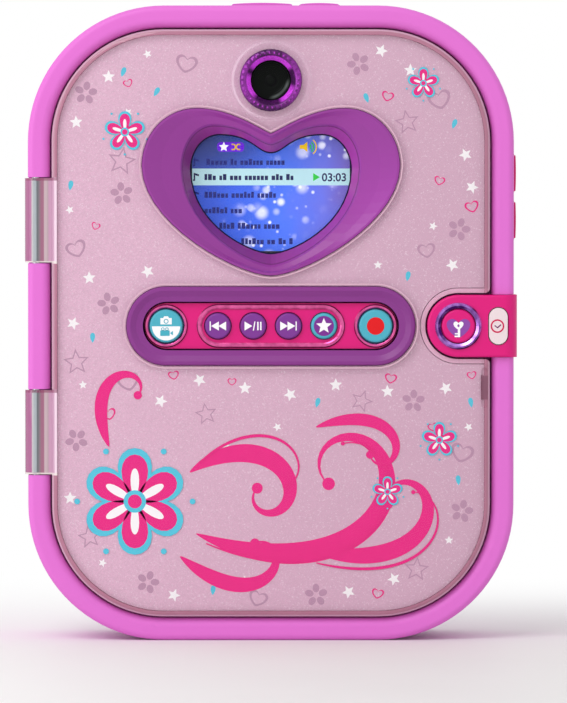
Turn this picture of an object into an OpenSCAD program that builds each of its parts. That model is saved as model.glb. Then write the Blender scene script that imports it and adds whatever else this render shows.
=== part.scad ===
// Electronic secret diary: a moulded case with a rounded rim, and a clear cover hinged
// on its left side. The cover carries the heart-shaped screen bezel, the bezel round the
// control strip and the camera trim. A motor lock on the right holds it shut, and a
// storage tray with a notebook lies behind it.
// The diary is drawn lying on its back: x runs across, y up the page, and heights are
// measured from the back face. stand() turns it upright, with its front towards -Y.

/* [Case] */
// Width of the case
case_w = 150; // [144:1:156]
// Height of the case
case_h = 196; // [192:1:204]
// Depth from the back face to the front of the rim
case_d = 43; // [43:0.5:48]
// Radius of the outline's corners
corner_r = 42; // [36:1:46]
// Thickness of the moulded walls
wall_t = 2.2; // [2:0.1:2.4]
// Width of the rounded rim round the cover
rim_w = 6.9; // [6.6:0.1:7.2]
// Radius of the rim's outer edge
rim_outer_r = 2; // [1.6:0.1:2.4]
// Radius of the rim's inner edge
rim_inner_r = 2.7; // [2.6:0.1:3]
// Radius of the case's back edge
back_edge_r = 8; // [6:0.5:9]
// Depth of the front frame, from the rim to the joint with the back shell
frame_d = 19; // [18.5:0.5:21]
// How far the deck lies below the rim
deck_drop = 8.4; // [8.2:0.1:9]
// Thickness of the deck
deck_t = 2; // [1.8:0.1:2.4]

/* [Hinge] */
// Radius of the clear knuckles
knuckle_r = 3.6; // [3.3:0.1:3.8]
// Radius of the steel pins
pin_r = 1.3; // [1.1:0.1:1.5]
// Radial running clearance of a pin in its knuckle
pin_clear = 0.08; // [0.05:0.01:0.1]
// Length of each knuckle
knuckle_len = 26; // [22:1:30]
// Height of the lower knuckle's middle above the foot of the case
knuckle_low = 64.4; // [60:0.5:68]
// Distance of the upper knuckle's middle below the top of the case
knuckle_drop = 66.2; // [62:0.1:70]

/* [Cover] */
// How far the cover stands out in front of the rim
cover_proud = 1.5; // [1.2:0.1:2]
// Gap between the cover and the rim
cover_gap = 0.5; // [0.4:0.05:0.6]
// Thickness of the clear front plate
plate_t = 1.6; // [1.4:0.1:1.8]
// Thickness of the clear side wall
cover_wall = 1.6; // [1.4:0.1:1.8]
// Thickness of the printed card behind the plate
card_t = 0.35; // [0.25:0.05:0.45]
// Thickness of the cover's inner lining
liner_t = 1.2; // [1:0.1:1.4]

/* [Heart window] */
// Half the width of the bezel
heart_w = 39.7; // [38:0.1:41]
// Distance of the heart's middle line below the top of the case
heart_drop = 40.3; // [39.5:0.1:41.5]
// Half the width of the screen window
window_w = 25.1; // [23:0.1:25.5]
// Width of the steep band round the window
funnel_w = 2.8; // [2.4:0.1:3.2]
// Depth of the step where the dished face turns into the funnel
heart_dish = 1.9; // [1.4:0.1:2.4]
// Thickness of the bezel's wall
bezel_t = 1.3; // [1.1:0.1:1.5]

/* [Control strip] */
// Distance of the strip's middle below the top of the case
strip_drop = 98.8; // [98.4:0.1:99.4]
// Half the height of the strip's bezel
strip_r = 12.1; // [11.8:0.1:12.4]
// Half the height of the opening in the bezel
opening_r = 7.5; // [7.4:0.05:7.7]
// Distance from the middle to the centre of the opening's round end
opening_l = 32; // [31.8:0.1:32.4]
// Radius of the camera and record buttons
big_button_r = 5.1; // [4.9:0.1:5.2]
// Radius of the four middle buttons
small_button_r = 4; // [3.7:0.1:4.1]
// How far the buttons stand out of the strip
button_proud = 1.3; // [1:0.1:1.5]
// Travel of every front button
button_travel = 0.8; // [0.6:0.1:0.9]

/* [Camera] */
// Distance of the camera below the top of the case
camera_drop = 23.1; // [22.6:0.1:23.6]
// Outer radius of the camera trim
trim_r = 9.4; // [9.2:0.1:9.8]
// Width of the trim's fluted band
trim_band = 1.6; // [1.3:0.1:1.9]
// Radius of the lens barrel
lens_r = 6.2; // [5.8:0.1:6.3]
// How far the trim stands out in front of the cover
trim_proud = 1.5; // [1.2:0.1:2]
// Number of flutes round the trim
flutes = 32; // [24:2:40]

/* [Lock] */
// Distance of the key button from the right side of the case
lock_inset = 17.2; // [17:0.1:17.6]
// Half the height of the lock housing
lock_r = 9.6; // [9.4:0.1:9.8]
// How far the housing stands out at the right side
lock_proud = 1; // [0.8:0.1:1.2]
// Radius of the key button
key_r = 5.2; // [5:0.1:5.4]
// Stroke of the bolt
bolt_stroke = 5; // [4.6:0.1:5]
// Gear module of rack and pinion
gear_module = 0.5; // [0.48:0.01:0.5]
// Number of teeth on the pinion
pinion_teeth = 10; // [10:1:10]

/* [Side controls] */
// Length of each volume button
volume_len = 12.3; // [11:0.1:12.4]
// Distance of the louder button's middle below the top of the case
louder_drop = 51.7; // [50.5:0.1:52.5]
// Distance between the middles of the two volume buttons
volume_pitch = 14.5; // [14:0.1:15.5]
// How far the volume buttons stand out
volume_proud = 0.8; // [0.6:0.1:1]
// Length of the power button
power_len = 13; // [12:0.1:14]
// How far the power button stands out of the top
power_proud = 0.9; // [0.7:0.1:1.1]
// Length of the port cover
flap_len = 19.1; // [18:0.1:20]
// How far the port cover stands out of the top
flap_proud = 1; // [0.9:0.1:1.2]

/* [Storage] */
// Distance of the storage tray from each side of the case
tray_side = 20; // [19:1:23]
// Height of the tray's lower edge above the foot of the case
tray_low = 21; // [20:0.5:25]
// Distance between the tray and the control strip's bezel
tray_drop = 6.1; // [6:0.1:9]
// Wall of the tray
tray_t = 1.5; // [1.3:0.1:1.7]
// Thickness of the notebook
book_t = 5; // [4:0.5:6]

/* [Power supply] */
// Diameter of a battery
cell_d = 14.5; // [14:0.1:14.5]
// Length of a battery
cell_len = 50.5; // [49.5:0.5:50.5]
// Radius of the loudspeaker
speaker_r = 18; // [16:0.5:20]

/* [Hidden] */

$fn = 64;
eps = 0.01;

// Colours
case_pink = [0.88, 0.42, 0.81];
hot_pink = [0.88, 0.08, 0.50];
bezel_purple = [0.63, 0.27, 0.65];
trim_purple = [0.60, 0.15, 0.70];
trim_pink = [0.85, 0.30, 0.60];
teal = [0.30, 0.69, 0.77];
violet = [0.57, 0.27, 0.65];
clear_pink = [0.95, 0.85, 0.92, 0.35];
card_pink = [0.87, 0.72, 0.82];
off_white = [0.92, 0.85, 0.87];
steel = [0.75, 0.76, 0.78];

// Heights above the foot of the case
heart_z = case_h - heart_drop;
camera_z = case_h - camera_drop;
strip_z = case_h - strip_drop;
knuckle_high = case_h - knuckle_drop;
louder_z = case_h - louder_drop;
quieter_z = louder_z - volume_pitch;

// Heights above the back face
part_h = case_d - frame_d;
deck_h = case_d - deck_drop;
deck_back = deck_h - deck_t;
cover_front = case_d + cover_proud;
cover_back = deck_h + 0.6;
plate_back = cover_front - plate_t;
card_front = plate_back - 0.02;
card_back = card_front - card_t;
rib_top = card_back - 0.04;
trim_front = cover_front + trim_proud;
total_d = trim_front;
board_front = deck_back - 4.4;
board_t = 1.6;
board_h = 88;
board_z = case_h - 67;
boss_side = 6;
board_chips = [[-30, -9, 14], [8, -17, 10], [30, 21, 8]];
chip_t = 1.2;

// Hinge
pin_x = -(case_w / 2 - 2.6);
pin_h = case_d - 3.5;
knuckle_ends = 0.3;
knuckle_room = 0.6;
pin_grip = 5;
pin_seat = 0.02;

// Cover outline
cover_w = case_w - 2 * (rim_w + cover_gap);
cover_h = case_h - 2 * (rim_w + cover_gap);
cover_r = corner_r - rim_w - cover_gap;
cover_edge_r = 1.6;
edge_band = 4;
part_clear = 0.2;
liner_inset = cover_wall + part_clear;
rib_w = 1;
ridge_w = 1.2;
nail_x = cover_w / 2 - 1.7;
nail_z = strip_z - 19;
nail_l = 5.2;
nail_r = 0.95;
nail_depth = 1;

// Moving parts in fixed ones
slide_clear = 0.3;
window_clear = 0.5;

// Heart outlines: half width, lobe top, notch, tip, x of the lobe top and height of the
// widest place, measured from the heart's middle line. Then how far each curve runs on
// before it turns: out of the notch across and up, into the lobe, down the side, into the tip.
heart_outer = [heart_w, 8.5, 0.7, -42.9, 22.8, -9.3, 0.17, 0.22, 0.55, 0.54, 0.24];
heart_step = [window_w + funnel_w, 3.8, -2.1, -40.4, 18, -9.9, 0.22, 0.1, 0.45, 0.62, 0.22];
heart_window = [window_w, 0.8, -4.8, -36.5, 15.8, -10.3, 0.27, 0, 0.36, 0.69, 0.22];
heart_points = 14;

// Screen
screen_z = heart_z - 17.9;
screen_w = 49;
screen_h = 36.7;
lens_w = 54;
lens_h = 42;
lens_corner = 3;

// Control strip
strip_l = opening_l + 0.4;
strip_flange_w = 1.2;
plate_top = cover_front - 2;
strip_plate_r = opening_r - window_clear;
end_button = opening_l + 0.3;
small_pitch = 10.9;
strip_buttons = [
    ["video_button", -end_button, big_button_r, teal],
    ["previous_button", -1.5 * small_pitch, small_button_r, violet],
    ["play_button", -0.5 * small_pitch, small_button_r, violet],
    ["next_button", 0.5 * small_pitch, small_button_r, violet],
    ["favourites_button", 1.5 * small_pitch, small_button_r, teal],
    ["record_button", end_button, big_button_r, teal]];
ring_h = 0.5;
ring_l = 1.5 * small_pitch - 0.2;
plate_wall = 1.3;
plate_side = 0.8;
flange_w = 0.55;
flange_t = 1;
flange_gap = 0.25;
flute_r = 0.36;
stem_r = 1.4;
dome_h = 0.9;
membrane_t = 1.2;

// Lock
lock_x = case_w / 2 - lock_inset;
lock_front = cover_front + 0.3;
lock_wall = 1.4;
notch_clear = 0.6;
notch_wall = 1.4;
notch_fillet = 2;
lock_right = case_w / 2 + lock_proud;
lock_corner = 4;
lock_edge_r = 0.8;
skirt_h = deck_back - 2.6;
skirt_t = 3.2;
clock_x = case_w / 2 - 4.9;
clock_r = 2.85;
clock_l = 2.75;
lock_board_t = 0.8;
lock_board_gap = 0.5;
pinion_r = gear_module * pinion_teeth / 2;
pinion_x = lock_x + 0.2;
pinion_z = strip_z - 3.7;
rack_z = pinion_z + pinion_r;
gear_low = cover_back + liner_t + 0.1;
gear_t = 3.1;
lock_board_h = gear_low + gear_t + lock_board_gap;
pressure = 25;
addendum = 0.9 * gear_module;
dedendum = 1.2 * gear_module;
backlash = 0.06;
bolt_tip = lock_x - 8.4;
bolt_tail = lock_x + 8.7;
bolt_top = rack_z + 5.2;
rail_places = [lock_x - 5.4, lock_x + 5.2];
rail_w = 2.4;
rack_first = -1;
rack_last = 4;
keeper_x = bolt_tip - bolt_stroke + 0.7;
keeper_t = 1;
keeper_h = 5.8;
slot_h = gear_t + 1.2;
motor_r = 5;
motor_len = 14;
board_w = 2 * (pinion_x - motor_r - 1);
board_bosses = [for (x = [-1, 1], z = [board_z - 15, board_z + 33]) [x * (board_w / 2 - boss_side), z]];
shaft_r = 1;
shaft_clear = 0.06;

// Side controls
control_low = part_h + 4;
control_high = case_d - 5;
control_skin = 1.5;
control_travel = 0.6;
control_pocket = control_skin + control_travel + slide_clear;
stem_high = deck_back - 0.4;
power_x = 15;
flap_x = -2.75;
flap_low = part_h + 3;
flap_axis = 0.9;
flap_high = case_d - 6.2;
flap_r = flap_axis + flap_proud;
flap_pin_r = 0.6;
volume_arch = 0.15;
power_arch = 0.4;
flap_arch = 0.4;
end_r = 1;
port_low = part_h + 1;
port_drop = 1.1;
port_depth = 8;
jack_r = 1.8;
usb_w = 7.4;
usb_h = 2.6;

// Storage tray and supply
bay_roof = wall_t + 0.4 + cell_d + 0.5;
bay_wall = 1.2;
tray_w = case_w - 2 * tray_side;
tray_high = strip_z - strip_r - tray_drop;
tray_h = tray_high - tray_low;
tray_z = (tray_high + tray_low) / 2;
tray_r = 12;
tray_floor = bay_roof + bay_wall + tray_t + 2.8;
bay_w = 2 * cell_len + 6;
bay_h = 2 * cell_d + 1.6;
bay_z = 39;
contact_t = 0.6;
contact_w = 10;
contact_r = 2.4;
door_lip = 4.2;
door_r = 3;
door_screw_r = 0.85;
door_screw_out = 2.2;
door_screw_len = 8;
mic_place = [40, case_h - 28];
speaker_z = case_h - 56;
speaker_hole_r = 1.2;
speaker_h = 8;
magnet_r = 10;
screw_side = case_w / 2 - 11;
screw_foot = [36, 13];
screw_middle = 66;
screw_top = [46, 16];
screw_places = [for (x = [-1, 1]) each [[screw_foot[0] * x, screw_foot[1]],
    [screw_side * x, screw_middle], [screw_top[0] * x, case_h - screw_top[1]]]];
boss_r = 3.6;
head_r = 2.8;
head_t = 2;
head_h = 6;
shank_r = 1.35;

// Turns the lying diary upright
module stand() {
    translate([0, total_d / 2, 0]) rotate([90, 0, 0]) children();
}

// Raises a flat outline from one height to another
module slab(low, high) {
    translate([0, 0, low]) linear_extrude(high - low) children();
}

module at_middle() {
    translate([0, case_h / 2, 0]) children();
}

module rounded_rect(w, h, r) {
    square([w - 2 * r, h], center = true);
    square([w, h - 2 * r], center = true);
    for (x = [-1, 1], y = [-1, 1])
        translate([x * (w / 2 - r), y * (h / 2 - r)]) circle(r);
}

module stadium(l, r) {
    square([2 * l, 2 * r], center = true);
    for (x = [-1, 1]) translate([x * l, 0]) circle(r);
}

// Carries a profile round a rounded rectangle. The profile's x is measured outwards from
// the outline, and its y is the height.
module outline_sweep(w, h, r) {
    for (k = [0:3]) {
        across = k % 2 == 0 ? w / 2 : h / 2;
        along = (k % 2 == 0 ? h / 2 : w / 2) - r;
        rotate([0, 0, 90 * k]) {
            translate([across - r, along, 0])
                rotate_extrude(angle = 90, $fn = 96) translate([r, 0]) children();
            translate([across, along, 0]) rotate([90, 0, 0]) linear_extrude(2 * along) children();
        }
    }
}

// Carries a profile round a stadium, with x measured from the centre of its round end
module stadium_sweep(l) {
    for (s = [0, 180]) rotate([0, 0, s]) {
        translate([l, 0, 0]) rotate([0, 0, -90]) rotate_extrude(angle = 180) children();
        translate([-l, 0, 0]) rotate([90, 0, 90]) linear_extrude(2 * l) children();
    }
}

// Heart outline
// One cubic curve from a to d, without its last point
function curve(a, b, c, d, n) = [for (i = [0:n - 1]) let (t = i / n, s = 1 - t)
    s * s * s * a + 3 * s * s * t * b + 3 * s * t * t * c + t * t * t * d];

// Right half of the outline, from the notch round to the tip
function heart_half(p, n) = let (hw = p[0], top = p[1], notch = p[2], tip = p[3],
        lobe = p[4], mid = p[5]) concat(
    curve([0, notch], [p[6] * lobe, notch + p[7] * (top - notch)], [p[8] * lobe, top],
        [lobe, top], n),
    curve([lobe, top], [lobe + 0.58 * (hw - lobe), top], [hw, mid + 0.55 * (top - mid)],
        [hw, mid], n),
    curve([hw, mid], [0.99 * hw, mid + p[9] * (tip - mid)], [p[10] * hw, tip], [0, tip], n));

function heart(p, n = heart_points) = let (half = heart_half(p, n), m = len(half))
    [for (i = [0:2 * m - 1]) i < m ? half[i] + [0, heart_z]
        : i == m ? [0, p[3] + heart_z] : [-half[2 * m - i][0], half[2 * m - i][1] + heart_z]];

// The same heart with its edge moved outwards
function grown(p, d) = [p[0] + d, p[1] + d, p[2] + d, p[3] - d, for (i = [4:len(p) - 1]) p[i]];

function blend(p, q, t) = [for (i = [0:len(p) - 1]) p[i] + (q[i] - p[i]) * t];

module heart_2d(p) {
    polygon(heart(p));
}

// A closed skin over a cycle of heart outlines, each with its height
module heart_loft(rings) {
    m = len(heart(rings[0][0]));
    n = len(rings);
    points = [for (ring = rings) for (q = heart(ring[0])) [q[0], q[1], ring[1]]];
    faces = [for (k = [0:n - 1], i = [0:m - 1]) let (j = (i + 1) % m, l = (k + 1) % n)
        each [[k * m + i, k * m + j, l * m + i], [k * m + j, l * m + j, l * m + i]]];
    polyhedron(points, faces, convexity = 6);
}

// Case
module shell_profile() {
    translate([-wall_t, back_edge_r]) square([wall_t, part_h - back_edge_r]);
    intersection() {
        translate([-back_edge_r, back_edge_r]) difference() {
            circle(back_edge_r);
            circle(back_edge_r - wall_t);
        }
        translate([-back_edge_r, 0]) square(back_edge_r);
    }
}

// The wall's upper edge keeps its outer half, and the front frame's tongue fills the rest
module tongue_profile(spare) {
    translate([-wall_t - spare, part_h - 1.5 - spare]) square([wall_t / 2 + spare, 1.5 + 2 * spare]);
}

module bay_walls() {
    translate([0, bay_z, 0]) slab(wall_t - eps, bay_roof + bay_wall) difference() {
        square([bay_w + 2 * bay_wall, bay_h + 2 * bay_wall], center = true);
        square([bay_w, bay_h], center = true);
    }
    translate([0, bay_z, 0]) slab(bay_roof, bay_roof + bay_wall) square([bay_w, bay_h], center = true);
}

module speaker_holes() {
    for (ring = [0:2], k = [0:max(1, 6 * ring) - 1])
        rotate([0, 0, ring == 0 ? 0 : 60 * k / ring]) translate([5.2 * ring, 0, -1])
            cylinder(h = wall_t + 2, r = speaker_hole_r, $fn = 24);
}

module back_shell() {
    color(case_pink) stand() difference() {
        union() {
            at_middle() outline_sweep(case_w, case_h, corner_r) difference() {
                shell_profile();
                tongue_profile(0);
            }
            at_middle() slab(0, wall_t) rounded_rect(case_w - 2 * back_edge_r,
                case_h - 2 * back_edge_r, corner_r - back_edge_r);
            bay_walls();
            translate([0, speaker_z, wall_t - eps]) difference() {
                cylinder(h = 4, r = speaker_r + 1.5);
                translate([0, 0, -1]) cylinder(h = 6, r = speaker_r + 0.15);
            }
            for (p = screw_places) translate([p[0], p[1], wall_t - eps])
                cylinder(h = part_h - wall_t + eps, r = boss_r);
            door_screw_place() translate([0, 0, wall_t / 2 + 0.3])
                cylinder(h = door_screw_len, r = 2.6);
        }
        translate([0, bay_z, 0]) slab(-1, wall_t + 1) rounded_rect(bay_w - 2, bay_h - 2, door_r);
        translate([0, bay_z, 0]) slab(-1, wall_t / 2 + 0.2)
            rounded_rect(bay_w + 2 * door_lip, bay_h + 2 * door_lip, door_r);
        translate([0, speaker_z, 0]) speaker_holes();
        for (p = screw_places) translate([p[0], p[1], 0]) {
            translate([0, 0, -1]) cylinder(h = head_h + head_t + 1, r = head_r + 0.3);
            translate([0, 0, -1]) cylinder(h = part_h + 2, r = shank_r + 0.2);
        }
        door_screw_place() translate([0, 0, -1])
            cylinder(h = door_screw_len + 1.4, r = door_screw_r + pin_seat);
    }
}

module frame_profile() {
    translate([-wall_t, part_h]) square([wall_t, deck_back - part_h + eps]);
    translate([-rim_w, deck_back]) square([rim_w, case_d - rim_inner_r - deck_back]);
    translate([rim_inner_r - rim_w, deck_back])
        square([rim_w - rim_inner_r - rim_outer_r, case_d - deck_back]);
    translate([-rim_outer_r - eps, deck_back])
        square([rim_outer_r + eps, case_d - rim_outer_r - deck_back]);
    translate([rim_inner_r - rim_w, case_d - rim_inner_r]) circle(rim_inner_r);
    translate([-rim_outer_r, case_d - rim_outer_r]) circle(rim_outer_r);
    translate([-wall_t, part_h - 1.4]) square([wall_t / 2 - 0.1, 1.4 + eps]);
}

// Space that a control needs in the case wall, with its outer face towards +y
module control_room(len, out) {
    room = slide_clear;
    translate([-len / 2 - room, -control_pocket, control_low - room])
        cube([len + 2 * room, control_pocket + out + 1, control_high - control_low + 2 * room]);
    translate([-len / 2 + 1.5 - room, -wall_t - 1, control_low + 0.5 - room])
        cube([len - 3 + 2 * room, wall_t + 1, stem_high - control_low - 0.5 + 2 * room]);
}

module on_right(z) {
    translate([case_w / 2, z, 0]) rotate([0, 0, -90]) children();
}

module on_top(x) {
    translate([x, case_h, 0]) children();
}

module knuckle_places() {
    for (z = [knuckle_low, knuckle_high]) translate([0, z, 0]) children();
}

module front_frame() {
    color(case_pink) stand() difference() {
        at_middle() outline_sweep(case_w, case_h, corner_r) frame_profile();
        knuckle_places() {
            half = knuckle_len / 2 + knuckle_ends;
            translate([-case_w / 2 - 1, -half, pin_h - knuckle_r - knuckle_room])
                cube([rim_w + 2, 2 * half, 20]);
            translate([pin_x, half + pin_grip, pin_h]) rotate([90, 0, 0])
                cylinder(h = 2 * (half + pin_grip), r = pin_r + pin_seat);
        }
        translate([0, strip_z, 0]) slab(skirt_h - 0.1, case_d + 1)
            translate([case_w / 2 - rim_w - 1, -lock_r - 0.1]) square([rim_w + 2, 2 * lock_r + 0.2]);
        on_right(louder_z) control_room(volume_len, volume_proud);
        on_right(quieter_z) control_room(volume_len, volume_proud);
        on_top(power_x) control_room(power_len, power_proud);
        on_top(flap_x) {
            room = slide_clear;
            translate([-flap_len / 2 - room, -wall_t - 0.2, flap_low - flap_r - room])
                cube([flap_len + 2 * room, wall_t + 1, flap_high - flap_low + flap_r + 2 * room]);
            translate([-flap_len / 2 - 2, -flap_axis, flap_low]) rotate([0, 90, 0])
                cylinder(h = flap_len + 4, r = flap_pin_r + 0.06, $fn = 32);
        }
    }
}

module tray_2d(d) {
    translate([0, tray_z]) rounded_rect(tray_w + 2 * d, tray_h + 2 * d, tray_r + d);
}

module lens_2d(d) {
    translate([0, screen_z]) rounded_rect(lens_w + 2 * d, lens_h + 2 * d, lens_corner + d);
}

module deck_panel() {
    outline_gap = rim_w + 0.05;
    color(case_pink) stand() difference() {
        union() {
            at_middle() slab(deck_back, deck_h) rounded_rect(case_w - 2 * outline_gap,
                case_h - 2 * outline_gap, corner_r - outline_gap);
            for (p = screw_places) translate([p[0], p[1], part_h])
                cylinder(h = deck_back - part_h + eps, r = boss_r - 0.3);
            for (p = board_bosses) translate([p[0], p[1], board_front])
                cylinder(h = deck_back - board_front + eps, r = 2.4);
            lock_rails();
        }
        slab(deck_back - 1, deck_h + 1) tray_2d(0);
        slab(deck_back - 1, deck_h + 1) lens_2d(0.1);
        translate([0, camera_z, deck_back - 1]) cylinder(h = 4, r = lens_r + 0.1);
        translate([0, strip_z, 0]) slab(deck_back - 1, deck_h + 1) stadium(opening_l, strip_plate_r + 0.1);
        translate([pinion_x, pinion_z, deck_back - 1]) cylinder(h = 5, r = shaft_r + 0.4);
        translate([mic_place[0], mic_place[1], deck_back - 1]) cylinder(h = 5, r = 0.8, $fn = 24);
        for (p = screw_places) translate([p[0], p[1], part_h - 1])
            cylinder(h = 8, r = shank_r + 0.03);
        translate([0, strip_z, 0]) slab(deck_back - 1, deck_h + 1)
            translate([case_w / 2 - skirt_t - 4, -lock_r - 0.1]) square([8, 2 * lock_r + 0.2]);
    }
}

// The tub hangs under the deck by its flange
module storage_tray() {
    color(card_pink) stand() difference() {
        union() {
            slab(tray_floor - tray_t, deck_back - 0.02) tray_2d(tray_t);
            slab(deck_back - 1.2, deck_back - 0.02) tray_2d(tray_t + 2);
        }
        slab(tray_floor, deck_back + 1) tray_2d(0);
    }
}

// Guides on the deck that the bolt runs on and between
module lock_rails() {
    for (x = rail_places) translate([x, rack_z + 0.8, deck_h - eps])
        cube([rail_w, bolt_top - rack_z - 0.8, gear_low - deck_h - 0.2 + eps]);
    for (x = rail_places) translate([x, bolt_top + slide_clear, deck_h - eps])
        cube([rail_w, 1.2, gear_low - deck_h + gear_t]);
}

module notebook() {
    w = tray_w - 8;
    h = tray_h - 6;
    r = 4;
    skin = 0.6;
    low = tray_floor + 0.05;
    color(hot_pink) stand() translate([0, tray_z, low]) {
        slab(0, skin) rounded_rect(w, h, r);
        slab(book_t - skin, book_t) rounded_rect(w, h, r);
        slab(skin - eps, book_t - skin + eps) translate([1, 0]) square([w - 5, h - 3], center = true);
        slab(skin - eps, book_t - skin + eps) translate([-w / 2, -h / 2 + r]) square([1.2, h - 2 * r]);
    }
}

module screen_lens() {
    color([0.1, 0.1, 0.14, 0.5]) stand() slab(deck_back + 0.05, deck_h - 0.05) lens_2d(0);
}

module display_module() {
    color([0.2, 0.3, 0.75]) stand() translate([0, screen_z, 0]) {
        slab(board_front + 0.05, deck_back - 0.6) square([screen_w + 7, screen_h + 6.3], center = true);
        slab(deck_back - 0.6 - eps, deck_back) square([screen_w, screen_h], center = true);
        slab(board_front + 0.05, board_front + 1.2) translate([-12, -26]) square([24, 5]);
    }
}

// Steps of the lens cone, from the barrel's edge down to the glass
function lens_steps(n) = [for (i = [0:n - 1])
    let (r = lens_r - 0.6 - i * 0.62, h = plate_top - 0.9 - i * 0.22)
    each [[r, h], [r, h - 0.22]]];

module camera_lens() {
    color([0.07, 0.07, 0.08]) stand() translate([0, camera_z, 0]) rotate_extrude() polygon(concat(
        [[0, board_front + 3.5], [lens_r, board_front + 3.5], [lens_r, plate_top - 0.3],
            [lens_r - 0.3, plate_top], [lens_r - 0.6, plate_top]],
        lens_steps(6), [[1.9, plate_top - 2.3], [1.2, plate_top - 2], [0, plate_top - 1.85]]));
}

module camera_module() {
    color([0.12, 0.14, 0.12]) stand() translate([0, camera_z, 0]) {
        slab(board_front + 0.02, board_front + 1.6) square([15, 15], center = true);
        slab(board_front + 1.6 - eps, board_front + 3.45) square([11, 11], center = true);
    }
}

// Front buttons
// A button with a domed edge, the flange that keeps it in and the stem that works it
module round_button(r, front, flange_top, foot) {
    rotate_extrude() {
        edge = 0.7;
        translate([0, flange_top - flange_t]) square([r + flange_w, flange_t]);
        translate([0, flange_top - eps]) square([r, front - edge - flange_top + eps]);
        translate([0, flange_top]) square([r - edge, front - flange_top]);
        translate([r - edge, front - edge]) intersection() {
            circle(edge, $fn = 32);
            square(edge);
        }
        translate([0, foot]) square([stem_r, flange_top - foot]);
    }
}

strip_front = plate_top + button_proud;
strip_flange = plate_top - plate_wall - flange_gap;
strip_foot = board_front + membrane_t + dome_h + button_travel + 0.15;

module strip_button(i) {
    b = strip_buttons[i];
    color(b[3]) stand() translate([b[1], strip_z, 0])
        round_button(b[2], strip_front, strip_flange, strip_foot);
}

module button_plate() {
    color(hot_pink) stand() translate([0, strip_z, 0]) difference() {
        union() {
            slab(deck_back + 0.1, plate_top) stadium(opening_l, strip_plate_r);
            slab(deck_back - 1.2, deck_back - 0.02) stadium(opening_l, strip_plate_r + 2);
            slab(deck_back - 0.1, deck_back + 0.2) stadium(opening_l, strip_plate_r);
        }
        slab(deck_back - 2, plate_top - plate_wall) stadium(opening_l, strip_plate_r - plate_side);
        for (b = strip_buttons) translate([b[1], 0, plate_top - plate_wall - 1])
            cylinder(h = plate_wall + 2, r = b[2] + slide_clear);
    }
}

module button_rings() {
    color(trim_pink) stand() translate([0, strip_z, plate_top + 0.01]) {
        for (x = [strip_buttons[0][1], strip_buttons[5][1]]) translate([x, 0, 0])
            rotate_extrude() ring_profile(big_button_r + slide_clear, strip_plate_r - 0.35);
        stadium_sweep(ring_l) ring_profile(small_button_r + 1.2, strip_plate_r - 0.3);
    }
}

// A low half-round trim between two radii
module ring_profile(inner, outer) {
    polygon([[inner, 0], [outer, 0], [outer, ring_h * 0.5], [outer - 0.3, ring_h],
        [inner + 0.4, ring_h], [inner, ring_h * 0.6]]);
}

module keypad_membrane() {
    color([0.85, 0.85, 0.85]) stand() translate([0, strip_z, board_front + 0.01]) {
        slab(0, membrane_t) stadium(opening_l, strip_plate_r - plate_wall - 0.1);
        for (b = strip_buttons) translate([b[1], 0, membrane_t - eps])
            cylinder(h = dome_h, r1 = 2.6, r2 = 1.8);
    }
}

// Lock
module lock_2d(d) {
    translate([lock_x, strip_z]) circle(lock_r - d);
    translate([lock_x, strip_z - lock_r + d]) square([lock_right - lock_x - d, 2 * (lock_r - d)]);
}

// Half the housing's cross-section, whose front edge is rounded
module lock_section() {
    square([lock_r, lock_front - lock_edge_r]);
    square([lock_r - lock_edge_r, lock_front]);
    translate([lock_r - lock_edge_r, lock_front - lock_edge_r]) circle(lock_edge_r, $fn = 40);
}

module lock_block() {
    translate([lock_x, strip_z, 0]) {
        rotate([0, 0, 90]) rotate_extrude(angle = 180) intersection() {
            lock_section();
            square(total_d);
        }
        rotate([90, 0, 90]) linear_extrude(lock_right - lock_x) {
            lock_section();
            mirror([1, 0]) lock_section();
        }
    }
}

// Side view of the housing, with its right front corner rounded like the rim
module lock_side(d) {
    r = lock_corner - d;
    left = lock_x - lock_r - 1;
    right = lock_right - d;
    foot = d > 0 ? deck_h - 1 : deck_h + 0.02;
    polygon([[left, foot], [right, foot], [right, lock_front - d - r], [right - r, lock_front - d],
        [left, lock_front - d]]);
    translate([right - r, lock_front - d - r]) circle(r);
}

module lock_keyway(d) {
    translate([bolt_tip - 8, rack_z + 0.65 - d, gear_low - d])
        cube([10, bolt_top - rack_z - 0.65 + 2 * d, gear_t + 2 * d]);
}

module lock_housing() {
    color(hot_pink) stand() difference() {
        union() {
            intersection() {
                lock_block();
                translate([0, strip_z + 20, 0]) rotate([90, 0, 0]) linear_extrude(40) lock_side(0);
            }
            translate([lock_right - skirt_t, strip_z - lock_r, skirt_h])
                cube([skirt_t, 2 * lock_r, deck_h - skirt_h + 1]);
        }
        intersection() {
            slab(0, 60) lock_2d(lock_wall);
            translate([0, strip_z + 20, 0]) rotate([90, 0, 0]) linear_extrude(40) lock_side(lock_wall);
            translate([0, 0, deck_h - 2]) cube([lock_right - skirt_t, 200, 60]);
        }
        translate([lock_x, strip_z, lock_front - 3]) cylinder(h = 5, r = key_r + slide_clear);
        translate([clock_x, strip_z, 0]) slab(lock_front - 3, lock_front + 2)
            rotate(90) stadium(clock_l, clock_r + slide_clear);
        lock_keyway(slide_clear);
    }
}

module key_button_ring() {
    color(trim_purple) stand() translate([lock_x, strip_z, lock_front + 0.01]) rotate_extrude()
        polygon([[key_r + slide_clear, 0], [key_r + 2, 0], [key_r + 2, 0.3], [key_r + 1.6, 0.8],
            [key_r + 1.1, 0.9], [key_r + slide_clear, 0.4]]);
}

lock_flange = lock_front - lock_wall - flange_gap;

module key_button() {
    color(hot_pink) stand() translate([lock_x, strip_z, 0])
        round_button(key_r, lock_front + 0.6, lock_flange, lock_flange - flange_t - 0.2);
}

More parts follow.
